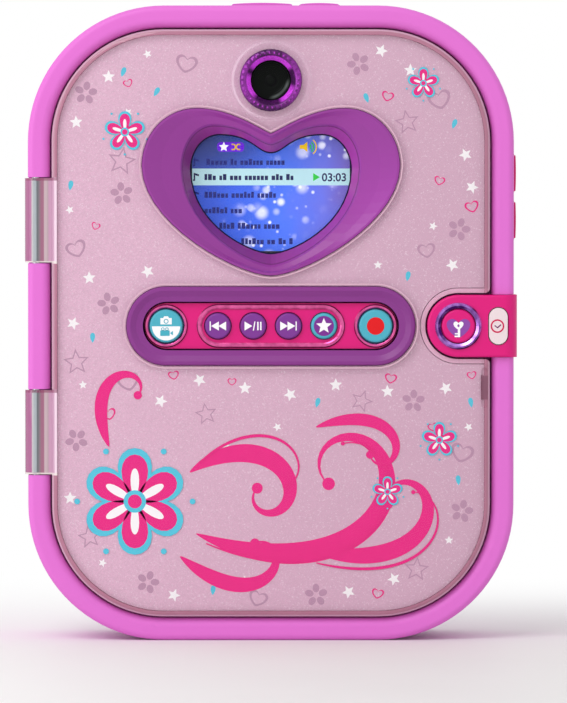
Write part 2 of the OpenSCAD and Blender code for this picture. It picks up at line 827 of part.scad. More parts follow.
module clock_button() {
    color(off_white) stand() translate([clock_x, strip_z, 0]) {
        slab(lock_flange - eps, lock_front + 0.5) rotate(90) stadium(clock_l, clock_r);
        slab(lock_flange - flange_t, lock_flange) intersection() {
            rotate(90) stadium(clock_l, clock_r + 0.6);
            translate([-10, -10]) square([10 + lock_right - skirt_t - clock_x - 0.3, 20]);
        }
        slab(lock_flange - flange_t - 0.2, lock_flange - flange_t + eps) rotate(90) stadium(1.5, 1);
    }
}

module lock_board() {
    color([0.1, 0.4, 0.2]) stand() {
        slab(lock_board_h, lock_board_h + lock_board_t) intersection() {
            lock_2d(lock_wall + 0.05);
            translate([0, strip_z - lock_r]) square([lock_right - skirt_t - 0.1, 2 * lock_r]);
        }
        for (x = [lock_x, clock_x]) translate([x, strip_z, lock_board_h + lock_board_t - eps])
            cylinder(h = lock_flange - flange_t - 0.2 - button_travel - 0.1 - lock_board_h - lock_board_t,
                r = 1.2, $fn = 32);
    }
}

// Involute pinion, drawn about its own centre
base_r = pinion_r * cos(pressure);
tip_r = pinion_r + addendum;
root_r = pinion_r - dedendum;

function involute(r) = let (a = acos(min(1, base_r / r))) tan(a) * 180 / PI - a;

function tooth_half(r) = (PI * gear_module / 4 - backlash) / pinion_r * 180 / PI
    + involute(pinion_r) - involute(max(r, base_r));

function tooth(a) = let (radii = [root_r, for (i = [0:4]) base_r + (tip_r - base_r) * i / 4])
    concat([for (r = radii) [r * cos(a - tooth_half(r)), r * sin(a - tooth_half(r))]],
        [for (i = [len(radii) - 1:-1:0]) let (r = radii[i])
            [r * cos(a + tooth_half(r)), r * sin(a + tooth_half(r))]]);

module lock_pinion() {
    color(off_white) stand() translate([pinion_x, pinion_z, 0]) {
        slab(gear_low, gear_low + gear_t) union() {
            circle(root_r);
            for (i = [0:pinion_teeth - 1])
                polygon(concat([[0, 0]], tooth(90 + (i + 0.5) * 360 / pinion_teeth)));
        }
        slab(deck_back - 4, gear_low + eps) circle(shaft_r);
        slab(gear_low + gear_t - eps, gear_low + gear_t + 0.3) circle(1.4);
    }
}

module lock_bolt() {
    pitch = PI * gear_module;
    half = pitch / 4 - backlash;
    color(steel) stand() slab(gear_low, gear_low + gear_t) {
        translate([bolt_tip, rack_z + dedendum + 0.05])
            square([bolt_tail - bolt_tip, bolt_top - rack_z - dedendum - 0.05]);
        for (i = [rack_first:rack_last]) translate([pinion_x + i * pitch, rack_z])
            polygon([[-half - dedendum * tan(pressure), dedendum + 0.06],
                [-half + addendum * tan(pressure), -addendum],
                [half - addendum * tan(pressure), -addendum],
                [half + dedendum * tan(pressure), dedendum + 0.06]]);
    }
}

module lock_motor() {
    color(steel) stand() translate([pinion_x, pinion_z, 0]) difference() {
        union() {
            slab(deck_back - 0.02 - motor_len, deck_back - 1.5) circle(motor_r);
            slab(deck_back - 1.5 - eps, deck_back - 0.02) rounded_rect(16, 7, 2);
        }
        translate([0, 0, deck_back - 4.4]) cylinder(h = 5, r = shaft_r + shaft_clear);
    }
}

module lock_keeper() {
    color(steel) stand() difference() {
        translate([keeper_x, rack_z + 0.65 - 2.2, cover_back + liner_t + 0.02])
            cube([keeper_t, bolt_top - rack_z - 0.65 + 4.4, keeper_h]);
        keeper_slot();
    }
}

// Boards and electrics
module main_board() {
    color([0.1, 0.4, 0.2]) stand() {
        slab(board_front - board_t, board_front) difference() {
            translate([0, board_z]) rounded_rect(board_w, board_h, 4);
            for (p = board_bosses) translate(p) circle(1.2, $fn = 32);
        }
        for (p = board_chips) translate([p[0], board_z + p[1], board_front - board_t - chip_t])
            linear_extrude(chip_t + eps) square(p[2], center = true);
    }
}

module speaker() {
    color([0.15, 0.15, 0.16]) stand() translate([0, speaker_z, wall_t + 0.02]) rotate_extrude()
        polygon([[0, 1.2], [magnet_r - 4, 1.2], [speaker_r - 4, 0.6], [speaker_r - 3, 0], [speaker_r, 0],
            [speaker_r, 1.4], [speaker_r - 6, 4], [magnet_r, 4.4], [magnet_r, speaker_h],
            [0, speaker_h]]);
}

module microphone() {
    color(steel) stand() translate([mic_place[0], mic_place[1], board_front + 0.02])
        cylinder(h = deck_back - board_front - 0.05, r = 3);
}

module port_block() {
    color([0.12, 0.12, 0.13]) stand() translate([flap_x, case_h - wall_t - port_drop, 0]) difference() {
        translate([-flap_len / 2 + 0.5, -port_depth, port_low])
            cube([flap_len - 1, port_depth, deck_back - 0.02 - port_low]);
        translate([-5, 1, port_low + 3.8]) rotate([90, 0, 0]) cylinder(h = port_depth, r = jack_r);
        translate([0.6, -5, port_low + 2.5]) cube([usb_w, 6, usb_h]);
    }
}

module batteries() {
    color([0.3, 0.3, 0.34]) stand() for (x = [-1, 1], z = [-1, 1])
        translate([x * (cell_len / 2 + 0.5), bay_z + z * (cell_d / 2 + 0.2), wall_t + 0.35 + cell_d / 2])
            rotate([0, x * z * 90, 0]) rotate_extrude() polygon([[0, -cell_len / 2],
                [cell_d / 2 - 0.4, -cell_len / 2], [cell_d / 2, -cell_len / 2 + 0.4],
                [cell_d / 2, cell_len / 2 - 1.6], [cell_d / 2 - 0.4, cell_len / 2 - 1.2],
                [2.7, cell_len / 2 - 1.2], [2.7, cell_len / 2], [0, cell_len / 2]]);
}

module battery_contacts() {
    color(steel) stand() for (x = [-1, 1], z = [-1, 1])
        translate([x * (bay_w / 2 - 0.45), bay_z + z * (cell_d / 2 + 0.2), wall_t + 0.4 + cell_d / 2]) {
            cube([contact_t, contact_w, contact_w + 1], center = true);
            translate([-x * (contact_t + 0.25), 0, 0]) rotate([0, 90, 0])
                cylinder(h = 2 * contact_t, r = contact_r, center = true);
        }
}

module door_screw_place() {
    translate([0, bay_z + bay_h / 2 + door_screw_out, 0]) children();
}

module battery_door() {
    color(case_pink) stand() difference() {
        union() {
            translate([0, bay_z, 0]) slab(0, wall_t / 2)
                rounded_rect(bay_w + 2 * door_lip - 0.4, bay_h + 2 * door_lip - 0.4, door_r);
            translate([0, bay_z, 0]) slab(wall_t / 2 - eps, wall_t)
                rounded_rect(bay_w - 2.4, bay_h - 2.4, door_r - 0.2);
        }
        for (k = [-3:3]) translate([12 * k, bay_z - 6, -1]) cube([1.2, 12, 1.4]);
        door_screw_place() translate([0, 0, -1]) cylinder(h = 4, r = door_screw_r + pin_clear);
    }
}

// A cross recess that a screwdriver fits
module screw(head, thick, shank, length) {
    difference() {
        union() {
            cylinder(h = thick, r = head, $fn = 40);
            translate([0, 0, thick - eps]) cylinder(h = length, r = shank, $fn = 24);
        }
        for (a = [0, 90]) rotate([0, 0, a]) cube([head * 1.2, head * 0.3, 1.2], center = true);
    }
}

module battery_door_screw() {
    color(steel) stand() door_screw_place() difference() {
        translate([0, 0, 0.02]) cylinder(h = door_screw_len, r = door_screw_r, $fn = 24);
        cube([1, 0.3, 0.8], center = true);
    }
}

module case_screws() {
    color(steel) stand() for (p = screw_places) translate([p[0], p[1], head_h])
        screw(head_r, head_t, shank_r, part_h + 5 - head_h - head_t);
}

module hinge_pins() {
    color(steel) stand() knuckle_places() {
        half = knuckle_len / 2 + knuckle_ends + pin_grip - 0.2;
        translate([pin_x, half, pin_h]) rotate([90, 0, 0]) cylinder(h = 2 * half, r = pin_r);
    }
}

// Cover
module cover_profile() {
    translate([-cover_wall, cover_back]) square([cover_wall, cover_front - cover_edge_r - cover_back]);
    translate([-edge_band, plate_back]) square([edge_band - cover_edge_r, plate_t]);
    translate([-cover_edge_r, cover_front - cover_edge_r]) intersection() {
        circle(cover_edge_r, $fn = 48);
        square(cover_edge_r);
    }
}

// The opening for the lock housing, from the cover's right edge
module notch_2d(d) {
    r = lock_r + notch_clear + d;
    edge = cover_w / 2;
    translate([lock_x, strip_z]) circle(r);
    translate([lock_x, strip_z - r]) square([edge - lock_x + 10, 2 * r]);
    reach = 0.96 * notch_fillet;
    if (d == 0) for (side = [-1, 1]) translate([edge, strip_z + side * r]) difference() {
        translate([(1 - reach) / 2, side * (reach - 1) / 2]) square(reach + 1, center = true);
        translate([-reach, side * reach]) circle(notch_fillet);
    }
}

// The slot at the right edge that a fingernail lifts the cover by
module nail_2d() {
    translate([nail_x, nail_z]) rotate(90) stadium(nail_l, nail_r);
}

module knuckles() {
    knuckle_places() {
        half = knuckle_len / 2;
        difference() {
            union() {
                translate([pin_x, half, pin_h]) rotate([90, 0, 0]) cylinder(h = 2 * half, r = knuckle_r);
                translate([pin_x, -half, pin_h + knuckle_r - 3])
                    cube([-cover_w / 2 - pin_x + 1, 2 * half, 3]);
            }
            translate([pin_x, half + 1, pin_h]) rotate([90, 0, 0])
                cylinder(h = 2 * half + 2, r = pin_r + pin_clear);
        }
    }
}

module clear_cover() {
    color(clear_pink) stand() difference() {
        union() {
            at_middle() outline_sweep(cover_w, cover_h, cover_r) cover_profile();
            at_middle() slab(plate_back, cover_front) rounded_rect(cover_w - 2 * edge_band + 1,
                cover_h - 2 * edge_band + 1, cover_r - edge_band + 0.5);
            translate([0, camera_z, cover_front - eps]) cylinder(h = 0.7, r = trim_r + 2.7);
            knuckles();
        }
        slab(cover_back - 1, cover_front + 2) notch_2d(0);
        slab(plate_back - 1, cover_front + 2) heart_2d(grown(heart_outer, part_clear));
        translate([0, strip_z, 0]) slab(plate_back - 1, cover_front + 2)
            stadium(strip_l, strip_r + part_clear);
        translate([0, camera_z, plate_back - 1]) cylinder(h = 8, r = trim_r + part_clear);
        slab(cover_front - nail_depth, cover_front + 1) nail_2d();
        latch_gap();
    }
}

// The cover's side wall stops short of the latch frame, which fills the gap in it
module latch_gap() {
    slab(cover_back - 1, plate_back) intersection() {
        notch_2d(notch_wall + 0.02);
        translate([cover_w / 2 - cover_wall - 1, 0]) square([cover_wall + 2, case_h]);
    }
}

// A wall round the lock's opening, which the bolt reaches through from its back edge
module latch_frame() {
    color(card_pink) stand() difference() {
        slab(cover_back, plate_back - 0.02) intersection() {
            notch_2d(notch_wall);
            translate([0, case_h / 2]) rounded_rect(cover_w - 0.2, cover_h, cover_r);
        }
        slab(cover_back - 1, plate_back + 1) notch_2d(0);
        keeper_slot();
    }
}

// The way through the cover that the bolt's tongue takes, open towards the back
module keeper_slot() {
    translate([bolt_tip - 8, rack_z + 0.25, cover_back - 1])
        cube([10, bolt_top - rack_z + 0.15, gear_low - cover_back + 1 + slot_h]);
}

module cover_holes_2d() {
    nail_2d();
    heart_2d(grown(heart_outer, part_clear));
    translate([0, strip_z]) stadium(strip_l, strip_r + part_clear);
    translate([0, camera_z]) circle(trim_r + part_clear);
    notch_2d(notch_wall + part_clear);
}

module art_card() {
    color(card_pink) stand() slab(card_back, card_front) difference() {
        liner_2d(0);
        cover_holes_2d();
    }
}

module heart_bezel() {
    back = bezel_t;
    dish = cover_front - heart_dish;
    low = cover_back;
    flange = grown(heart_outer, 1.6);
    color(bezel_purple) stand() heart_loft([
        [heart_outer, cover_front + 0.3],
        [grown(heart_outer, -0.7), cover_front + 0.4],
        [blend(heart_outer, heart_step, 0.5), cover_front - 0.45 * heart_dish],
        [heart_step, dish],
        [blend(heart_step, heart_window, 0.25), dish - 1.2],
        [blend(heart_step, heart_window, 0.7), low + 3.2],
        [heart_window, low + 1.2],
        [heart_window, low],
        [grown(heart_window, back), low],
        [grown(heart_window, back), low + liner_t + 0.1],
        [grown(blend(heart_step, heart_window, 0.7), back), low + 2.6],
        [grown(heart_step, back), rib_top - 2.6],
        [flange, rib_top - 1.2],
        [flange, rib_top],
        [heart_outer, rib_top]]);
}

// Front half of the strip's bezel: a rounded lip that dips towards the opening
module strip_lip_profile() {
    polygon([[opening_r - 2.5, plate_back - 1.6], [strip_r, plate_back - 1.6],
        [strip_r, cover_front], [strip_r - 0.4, cover_front + 0.4], [strip_r - 1.2, cover_front + 0.5],
        [opening_r + 1.6, cover_front - 0.3], [opening_r - 2.5, cover_front - 0.8]]);
}

module strip_bezel() {
    color(bezel_purple) stand() translate([0, strip_z, 0]) difference() {
        union() {
            stadium_sweep(strip_l) strip_lip_profile();
            slab(rib_top - 1.2, rib_top) intersection() {
                stadium(strip_l, strip_r + strip_flange_w);
                square([2 * keeper_x - 0.3, case_h], center = true);
            }
            slab(cover_back, plate_back) stadium(opening_l, opening_r + bezel_t);
        }
        slab(cover_back - 1, cover_front + 2) stadium(opening_l, opening_r);
    }
}

module camera_ring() {
    band_r = trim_r - trim_band;
    cone = band_r - lens_r;
    color(trim_purple) stand() translate([0, camera_z, 0]) difference() {
        rotate_extrude() polygon([[lens_r + 0.7, cover_back], [lens_r + 2, cover_back],
            [lens_r + 2, rib_top - 1.2], [trim_r + 1.6, rib_top - 1.2], [trim_r + 1.6, rib_top],
            [trim_r, rib_top], [trim_r, cover_front + 0.9], [trim_r - 0.3, trim_front - 0.25],
            [trim_r - 0.8, trim_front], [band_r + 0.3, trim_front - 0.1], [band_r, trim_front - 0.3],
            [lens_r, trim_front - 0.3 - cone], [lens_r, plate_top + 0.6], [lens_r + 0.7, plate_top - 0.1]]);
        for (k = [0:flutes - 1]) rotate([0, 0, k * 360 / flutes]) {
            translate([band_r + 0.75, 0, cover_front + 0.95]) cylinder(h = 3, r = flute_r, $fn = 16);
            translate([band_r + 0.75, -flute_r, cover_front + 0.95]) cube([3, 2 * flute_r, 3]);
        }
    }
}

// The space that bezels, trim, lock and keeper take in the back half of the cover
module cover_rooms() {
    slab(cover_back - 1, rib_top - 1.3) heart_2d(grown(heart_window, bezel_t + part_clear));
    slab(cover_back + liner_t, rib_top + 1) heart_2d(grown(heart_outer, 2.4));
    translate([0, strip_z, 0]) slab(cover_back - 1, rib_top + 1)
        stadium(opening_l, opening_r + bezel_t + part_clear);
    translate([0, strip_z, 0]) slab(plate_back - 2.6, rib_top + 1)
        stadium(strip_l, strip_r + strip_flange_w + 0.3);
    translate([0, camera_z, cover_back - 1]) cylinder(h = 9, r = lens_r + 2 + part_clear);
    translate([0, camera_z, rib_top - 1.6]) cylinder(h = 3, r = trim_r + 2);
    slab(cover_back - 1, rib_top + 1) notch_2d(notch_wall + part_clear);
    translate([keeper_x - 0.2, strip_z - 6, cover_back + liner_t]) cube([keeper_t + 0.4, 13, 8]);
}

module liner_2d(d) {
    translate([0, case_h / 2]) rounded_rect(cover_w - 2 * (liner_inset + d),
        cover_h - 2 * (liner_inset + d), cover_r - liner_inset - d);
}

module cover_liner() {
    color(card_pink) stand() difference() {
        slab(cover_back, cover_back + liner_t) liner_2d(0);
        cover_rooms();
    }
}

// A ridge round the edge and ribs across it, which hold the card against the plate
module card_support() {
    low = cover_back + liner_t + 0.02;
    color(card_pink) stand() difference() {
        union() {
            slab(low, rib_top) difference() {
                liner_2d(0);
                liner_2d(ridge_w);
            }
            slab(low, rib_top - 1.4) intersection() {
                union() {
                    for (x = [-1, 1]) translate([x * (cover_w / 2 - 13.6), case_h / 2])
                        square([rib_w, case_h], center = true);
                    for (x = [-27, 0, 27]) translate([x - rib_w / 2, 0]) square([rib_w, strip_z - strip_r]);
                    for (z = [30, 55, strip_z - 17.2, strip_z + 14.8]) translate([0, z])
                        square([case_w, rib_w], center = true);
                }
                liner_2d(ridge_w / 2);
            }
        }
        cover_rooms();
    }
}

// Side controls
// Keeps what lies under a shallow arch over the length of a cap, whose ends are rounded
module arched(len, out, rise) {
    r = (len * len / 4 + rise * rise) / (2 * rise);
    end = out - rise * 0.8 - end_r;
    intersection() {
        children();
        translate([0, out - r, 0]) linear_extrude(total_d) circle(r, $fn = 240);
        linear_extrude(total_d) {
            translate([-len, end - 20]) square([2 * len, 20]);
            translate([end_r - len / 2, end - eps]) square([len - 2 * end_r, out + 1 - end]);
            for (x = [-1, 1]) translate([x * (len / 2 - end_r), end]) circle(end_r);
        }
    }
}

// The cap stands out through the wall and a stem reaches in through the slot behind it
module control(len, out) {
    r = 0.6;
    wide = control_high - control_low;
    top = out;
    bottom = out - control_skin;
    translate([-len / 2, bottom, control_low]) cube([len, top - bottom - r, wide]);
    translate([-len / 2 + r, bottom, control_low + r]) cube([len - 2 * r, top - bottom, wide - 2 * r]);
    translate([-len / 2 + 1.5, -wall_t - flange_gap - eps, control_low + 0.5])
        cube([len - 3, wall_t + flange_gap + bottom + 2 * eps, stem_high - control_low - 0.5]);
    translate([-len / 2, -wall_t - flange_gap - flange_t, control_low])
        cube([len, flange_t, stem_high - control_low]);
}

module louder_button() {
    color(hot_pink) stand() on_right(louder_z)
        arched(volume_len, volume_proud, volume_arch) control(volume_len, volume_proud);
}

module quieter_button() {
    color(hot_pink) stand() on_right(quieter_z)
        arched(volume_len, volume_proud, volume_arch) control(volume_len, volume_proud);
}

module power_button() {
    color(case_pink) stand() on_top(power_x)
        arched(power_len, power_proud, power_arch) control(power_len, power_proud);
}

module port_cover() {
    color(case_pink) stand() on_top(flap_x) {
        arched(flap_len, flap_proud, flap_arch) union() {
            translate([-flap_len / 2, -flap_axis, flap_low]) rotate([0, 90, 0])
                cylinder(h = flap_len, r = flap_r);
            translate([-flap_len / 2, -flap_axis - 0.6, flap_low])
                cube([flap_len, flap_r + 0.6 - 0.5, flap_high - flap_low]);
            translate([-flap_len / 2 + 0.5, -flap_axis, flap_low])
                cube([flap_len - 1, flap_r, flap_high - flap_low - 0.5]);
        }
        translate([-flap_len / 2 - 1.6, -flap_axis, flap_low]) rotate([0, 90, 0])
            cylinder(h = flap_len + 3.2, r = flap_pin_r, $fn = 32);
    }
}

back_shell();
front_frame();
deck_panel();
storage_tray();
notebook();
screen_lens();
display_module();
camera_lens();
camera_module();
button_plate();
button_rings();
lock_housing();
key_button_ring();
lock_board();
lock_motor();
main_board();
keypad_membrane();
speaker();
microphone();
port_block();
batteries();
battery_contacts();
battery_door();
battery_door_screw();
case_screws();
hinge_pins();
clear_cover();
art_card();
heart_bezel();
strip_bezel();
camera_ring();
cover_liner();
card_support();
latch_frame();
lock_keeper();
lock_bolt();
lock_pinion();
port_cover();
power_button();
strip_button(0);  // video_button
strip_button(1);  // previous_button
strip_button(2);  // play_button
strip_button(3);  // next_button
strip_button(4);  // favourites_button
strip_button(5);  // record_button
key_button();
clock_button();
louder_button();
quieter_button();
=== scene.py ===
"""Finishes, prints, button icons, screen picture and studio for an electronic secret diary."""
import math
import random

import bpy
from bpy.props import FloatProperty, FloatVectorProperty, PointerProperty
from mathutils import Matrix, Vector


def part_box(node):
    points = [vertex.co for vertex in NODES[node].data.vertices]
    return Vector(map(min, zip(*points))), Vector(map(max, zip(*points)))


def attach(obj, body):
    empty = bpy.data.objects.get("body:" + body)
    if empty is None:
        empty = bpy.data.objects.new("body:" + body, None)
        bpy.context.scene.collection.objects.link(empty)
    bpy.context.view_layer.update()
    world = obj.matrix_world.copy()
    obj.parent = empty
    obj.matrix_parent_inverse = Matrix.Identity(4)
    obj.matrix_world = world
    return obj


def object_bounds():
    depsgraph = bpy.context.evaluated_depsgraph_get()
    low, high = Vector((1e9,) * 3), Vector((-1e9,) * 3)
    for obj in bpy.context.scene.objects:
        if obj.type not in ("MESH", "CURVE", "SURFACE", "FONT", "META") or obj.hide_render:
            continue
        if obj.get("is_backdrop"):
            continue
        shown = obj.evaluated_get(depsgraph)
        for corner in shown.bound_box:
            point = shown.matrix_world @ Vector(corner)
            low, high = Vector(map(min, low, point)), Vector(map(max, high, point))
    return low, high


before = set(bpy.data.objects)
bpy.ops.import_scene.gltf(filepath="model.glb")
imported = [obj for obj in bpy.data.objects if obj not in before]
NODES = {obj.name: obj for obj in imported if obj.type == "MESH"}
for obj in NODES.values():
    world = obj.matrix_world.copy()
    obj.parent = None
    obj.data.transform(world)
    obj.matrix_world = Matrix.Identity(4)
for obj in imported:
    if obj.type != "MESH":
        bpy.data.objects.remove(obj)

bl_info = {
    "name": "Secret Diary Studio",
    "version": (1, 0, 0),
    "blender": (4, 5, 0),
    "location": "View3D > Sidebar > Diary",
    "description": "Finishes the packed diary, prints its card and icons, and sets up its studio",
    "category": "Object",
}

MM = 0.001

# Places on the CAD pieces, in millimetres
COVER_FRONT = -21.5
COVER_CORNER = 34.6
COVER_DEPTH = 9.3  # from the cover's back to its flat front
HEART_LINE = 44.5  # from the heart bezel's foot to the line that its outlines start from
STADIUM = (44.5, 12.1)  # half width and half height of the hole for the strip bezel
KNUCKLES = ((116.7, 142.7), (51.4, 77.3))  # foot and head of each hinge barrel
NAIL_SLOT = (65.9, 78.2)
FLUTES = (36, 7.45, 9.4)  # how many round the camera trim, and their inner and outer radius
LENS_GROOVE = 0.55  # from one groove of the camera barrel to the next
SCREEN = (24.45, 18.3, 138.5)  # half width, half height and middle of the lit picture

# Heart outlines: half width, lobe top, notch, tip, lobe place, widest height and five runs
HEART_HOLE = (39.7, 8.5, 0.7, -42.9, 22.8, -9.3, 0.17, 0.22, 0.55, 0.54, 0.24)
WINDOW = (25.1, 0.8, -4.8, -36.5, 15.8, -10.3, 0.27, 0.0, 0.36, 0.69, 0.22)
PRINTED_HEART = (1.0, 0.74, 0.4, -0.84, 0.52, 0.28, 0.12, 0.3, 0.5, 0.5, 0.2)

# The hinge barrel from its left edge to the card: x, colour on the screen and how solid it looks;
# the colours are its pink and its steel pin with painted highlights and painted shade.
BARREL_ENDS = (-76.0, -65.5)
BARREL_TONES_AND_LIGHT = ((-76.0, (150, 70, 120), 0.9), (-75.3, (176, 100, 146), 0.86),
                (-73.9, (172, 92, 144), 0.86), (-73.6, (226, 224, 226), 0.7),
                (-73.1, (226, 236, 242), 0.45), (-72.4, (214, 226, 234), 0.4),
                (-72.2, (110, 116, 122), 0.75), (-71.7, (120, 118, 124), 0.75),
                (-71.4, (160, 140, 152), 0.6), (-70.8, (166, 104, 132), 0.85),
                (-70.1, (172, 108, 136), 0.85), (-69.8, (216, 190, 198), 0.8),
                (-69.1, (210, 186, 192), 0.8), (-68.8, (196, 170, 178), 0.8),
                (-68.4, (214, 162, 194), 0.8), (-66.8, (220, 172, 202), 0.8),
                (-66.55, (255, 226, 244), 0.85), (-66.0, (255, 226, 244), 0.85),
                (-65.8, (228, 190, 212), 0.1))


def linear(value):
    """One screen colour value, 0 to 255, as the linear value that a socket takes."""
    value /= 255
    return value / 12.92 if value <= 0.04045 else ((value + 0.055) / 1.055) ** 2.4


def tone(name, description, red, green, blue):
    """A colour of the diary, given as it looks on the screen."""
    return FloatVectorProperty(
        name=name, description=description, subtype="COLOR", size=3, min=0, max=1,
        default=[linear(v) for v in (red, green, blue)])


def length(name, description, millimetres):
    """A size of the diary's prints, given in millimetres."""
    return FloatProperty(
        name=name, description=description, unit="LENGTH", min=0, default=millimetres * MM,
        precision=5)


class DiaryColours(bpy.types.PropertyGroup):
    """Colours of plastics and inks"""
    case: tone("Case", "Moulded case and rim", 224, 112, 208)
    hot_pink: tone("Hot pink", "Lock housing, button plate and side buttons", 222, 8, 122)
    purple: tone("Bezel purple", "Dished front of the heart and strip bezels", 144, 52, 146)
    plum: tone("Plum", "Funnel of the heart bezel", 152, 46, 142)
    violet: tone("Violet", "Small buttons and the discs on the larger ones", 124, 50, 146)
    teal: tone("Teal", "Camera, favourites and record buttons", 74, 174, 194)
    card: tone("Card", "Pearly card behind the clear cover", 230, 188, 212)
    # Clear edge tint, made dusky as painted shade of what lies behind the cover's side.
    clear: tone("Clear plastic", "Tint of the clear cover's edge", 192, 125, 152)
    # Painted highlight: pale line round the clear cover's cut edges.
    clear_edge_highlight: tone("Clear edge", "Pale line round the clear cover", 220, 180, 198)
    liner: tone("Liner", "Inner lining of the cover and the tray", 226, 182, 206)
    white_plastic: tone("White plastic", "Clock button and pinion", 236, 218, 222)
    purple_chrome: tone("Purple chrome", "Camera trim where it is bright", 234, 78, 255)
    plating_shade: tone("Plating shade", "Camera trim where it is dark", 56, 0, 66)
    pink_chrome: tone("Pink chrome", "Rings in the button plate", 236, 104, 170)
    white_ink: tone("White ink", "White prints and icons", 250, 248, 250)
    grey_ink: tone("Grey ink", "Faint motifs on the card", 190, 150, 176)
    pink_ink: tone("Pink ink", "Hot pink prints on the card", 234, 44, 134)
    aqua_ink: tone("Aqua ink", "Blue-green prints on the card", 86, 200, 224)
    red_ink: tone("Red ink", "Dot on the record button", 226, 24, 30)


class DiarySizes(bpy.types.PropertyGroup):
    """Sizes of prints and icons"""
    ink: length("Ink thickness", "How far a print stands on its surface", 0.05)
    step: length("Print step", "How far each print lies in front of the one before", 0.012)
    cover_edge: length("Cover edge", "Width of the clear band round the card", 1.75)
    # Painted shadow: width of the dark band inside the window's edge.
    window_shadow: length("Window edge", "Width of the dark edge inside the screen window", 0.45)


class DiaryStudio(bpy.types.PropertyGroup):
    """Camera and lamps"""
    distance: FloatProperty(name="Distance", description="Camera to the diary's front",
                            unit="LENGTH", default=1.6)
    height: FloatProperty(name="Height", description="Height of the camera above the floor",
                          unit="LENGTH", default=0.135)
    ambient: FloatProperty(name="Ambient", description="Light of the white room", default=0.74)
    key: FloatProperty(name="Key lamp", description="Power of the large lamp above the front",
                       unit="POWER", default=9.0)
    fill: FloatProperty(name="Fill lamp", description="Power of the lamp at the left",
                        unit="POWER", default=4.0)


def colours():
    return bpy.context.scene.diary_colours


def sizes():
    return bpy.context.scene.diary_sizes


# Materials

def add(tree, kind, sockets=None, **settings):
    """Adds a shader node, with its settings, values and links."""
    made = tree.nodes.new("ShaderNode" + kind)
    for key, value in settings.items():
        setattr(made, key, value)
    for key, value in (sockets or {}).items():
        if isinstance(value, bpy.types.NodeSocket):
            tree.links.new(value, made.inputs[key])
        else:
            made.inputs[key].default_value = value
    return made


def rgba(colour, gain=1.0):
    """A colour with its alpha, made lighter or darker by a gain."""
    return (*[min(1.0, c * gain) for c in colour[:3]], 1.0)


def mixed(tree, factor, first, second):
    """The colour between two colours."""
    return add(tree, "Mix", {0: factor, 6: first, 7: second}, data_type="RGBA").outputs[2]


def ranged(tree, value, low, high, start=0.0, end=1.0, smooth=False):
    """The value moved from one range to another, and held at its ends."""
    sockets = {"Value": value, "From Min": low, "From Max": high, "To Min": start, "To Max": end}
    kind = "SMOOTHSTEP" if smooth else "LINEAR"
    return add(tree, "MapRange", sockets, interpolation_type=kind).outputs[0]


def math_node(tree, operation, *values):
    return add(tree, "Math", dict(enumerate(values)), operation=operation).outputs[0]


def times(tree, *values):
    return math_node(tree, "MULTIPLY", *values)


def plus(tree, *values):
    return math_node(tree, "ADD", *values)


def less(tree, *values):
    return math_node(tree, "SUBTRACT", *values)


def screen_rgb(red, green, blue):
    """A colour given as it looks on the screen."""
    return (linear(red), linear(green), linear(blue), 1.0)


def within(tree, value, low, high, soft):
    """1 where the value lies between two limits, falling to 0 over a soft width."""
    rise = ranged(tree, value, low - soft, low + soft, smooth=True)
    fall = ranged(tree, value, high - soft, high + soft, 1.0, 0.0, smooth=True)
    return times(tree, rise, fall)


def ramp(tree, place, stops):
    """A colour ramp of (position, colour) stops, where each colour may have its own alpha."""
    made = add(tree, "ValToRGB", {0: place})
    elements = made.color_ramp.elements
    while len(elements) < len(stops):
        elements.new(0.5)
    for element, (position, colour) in zip(elements, stops):
        element.position = position
        element.color = colour
    return made.outputs


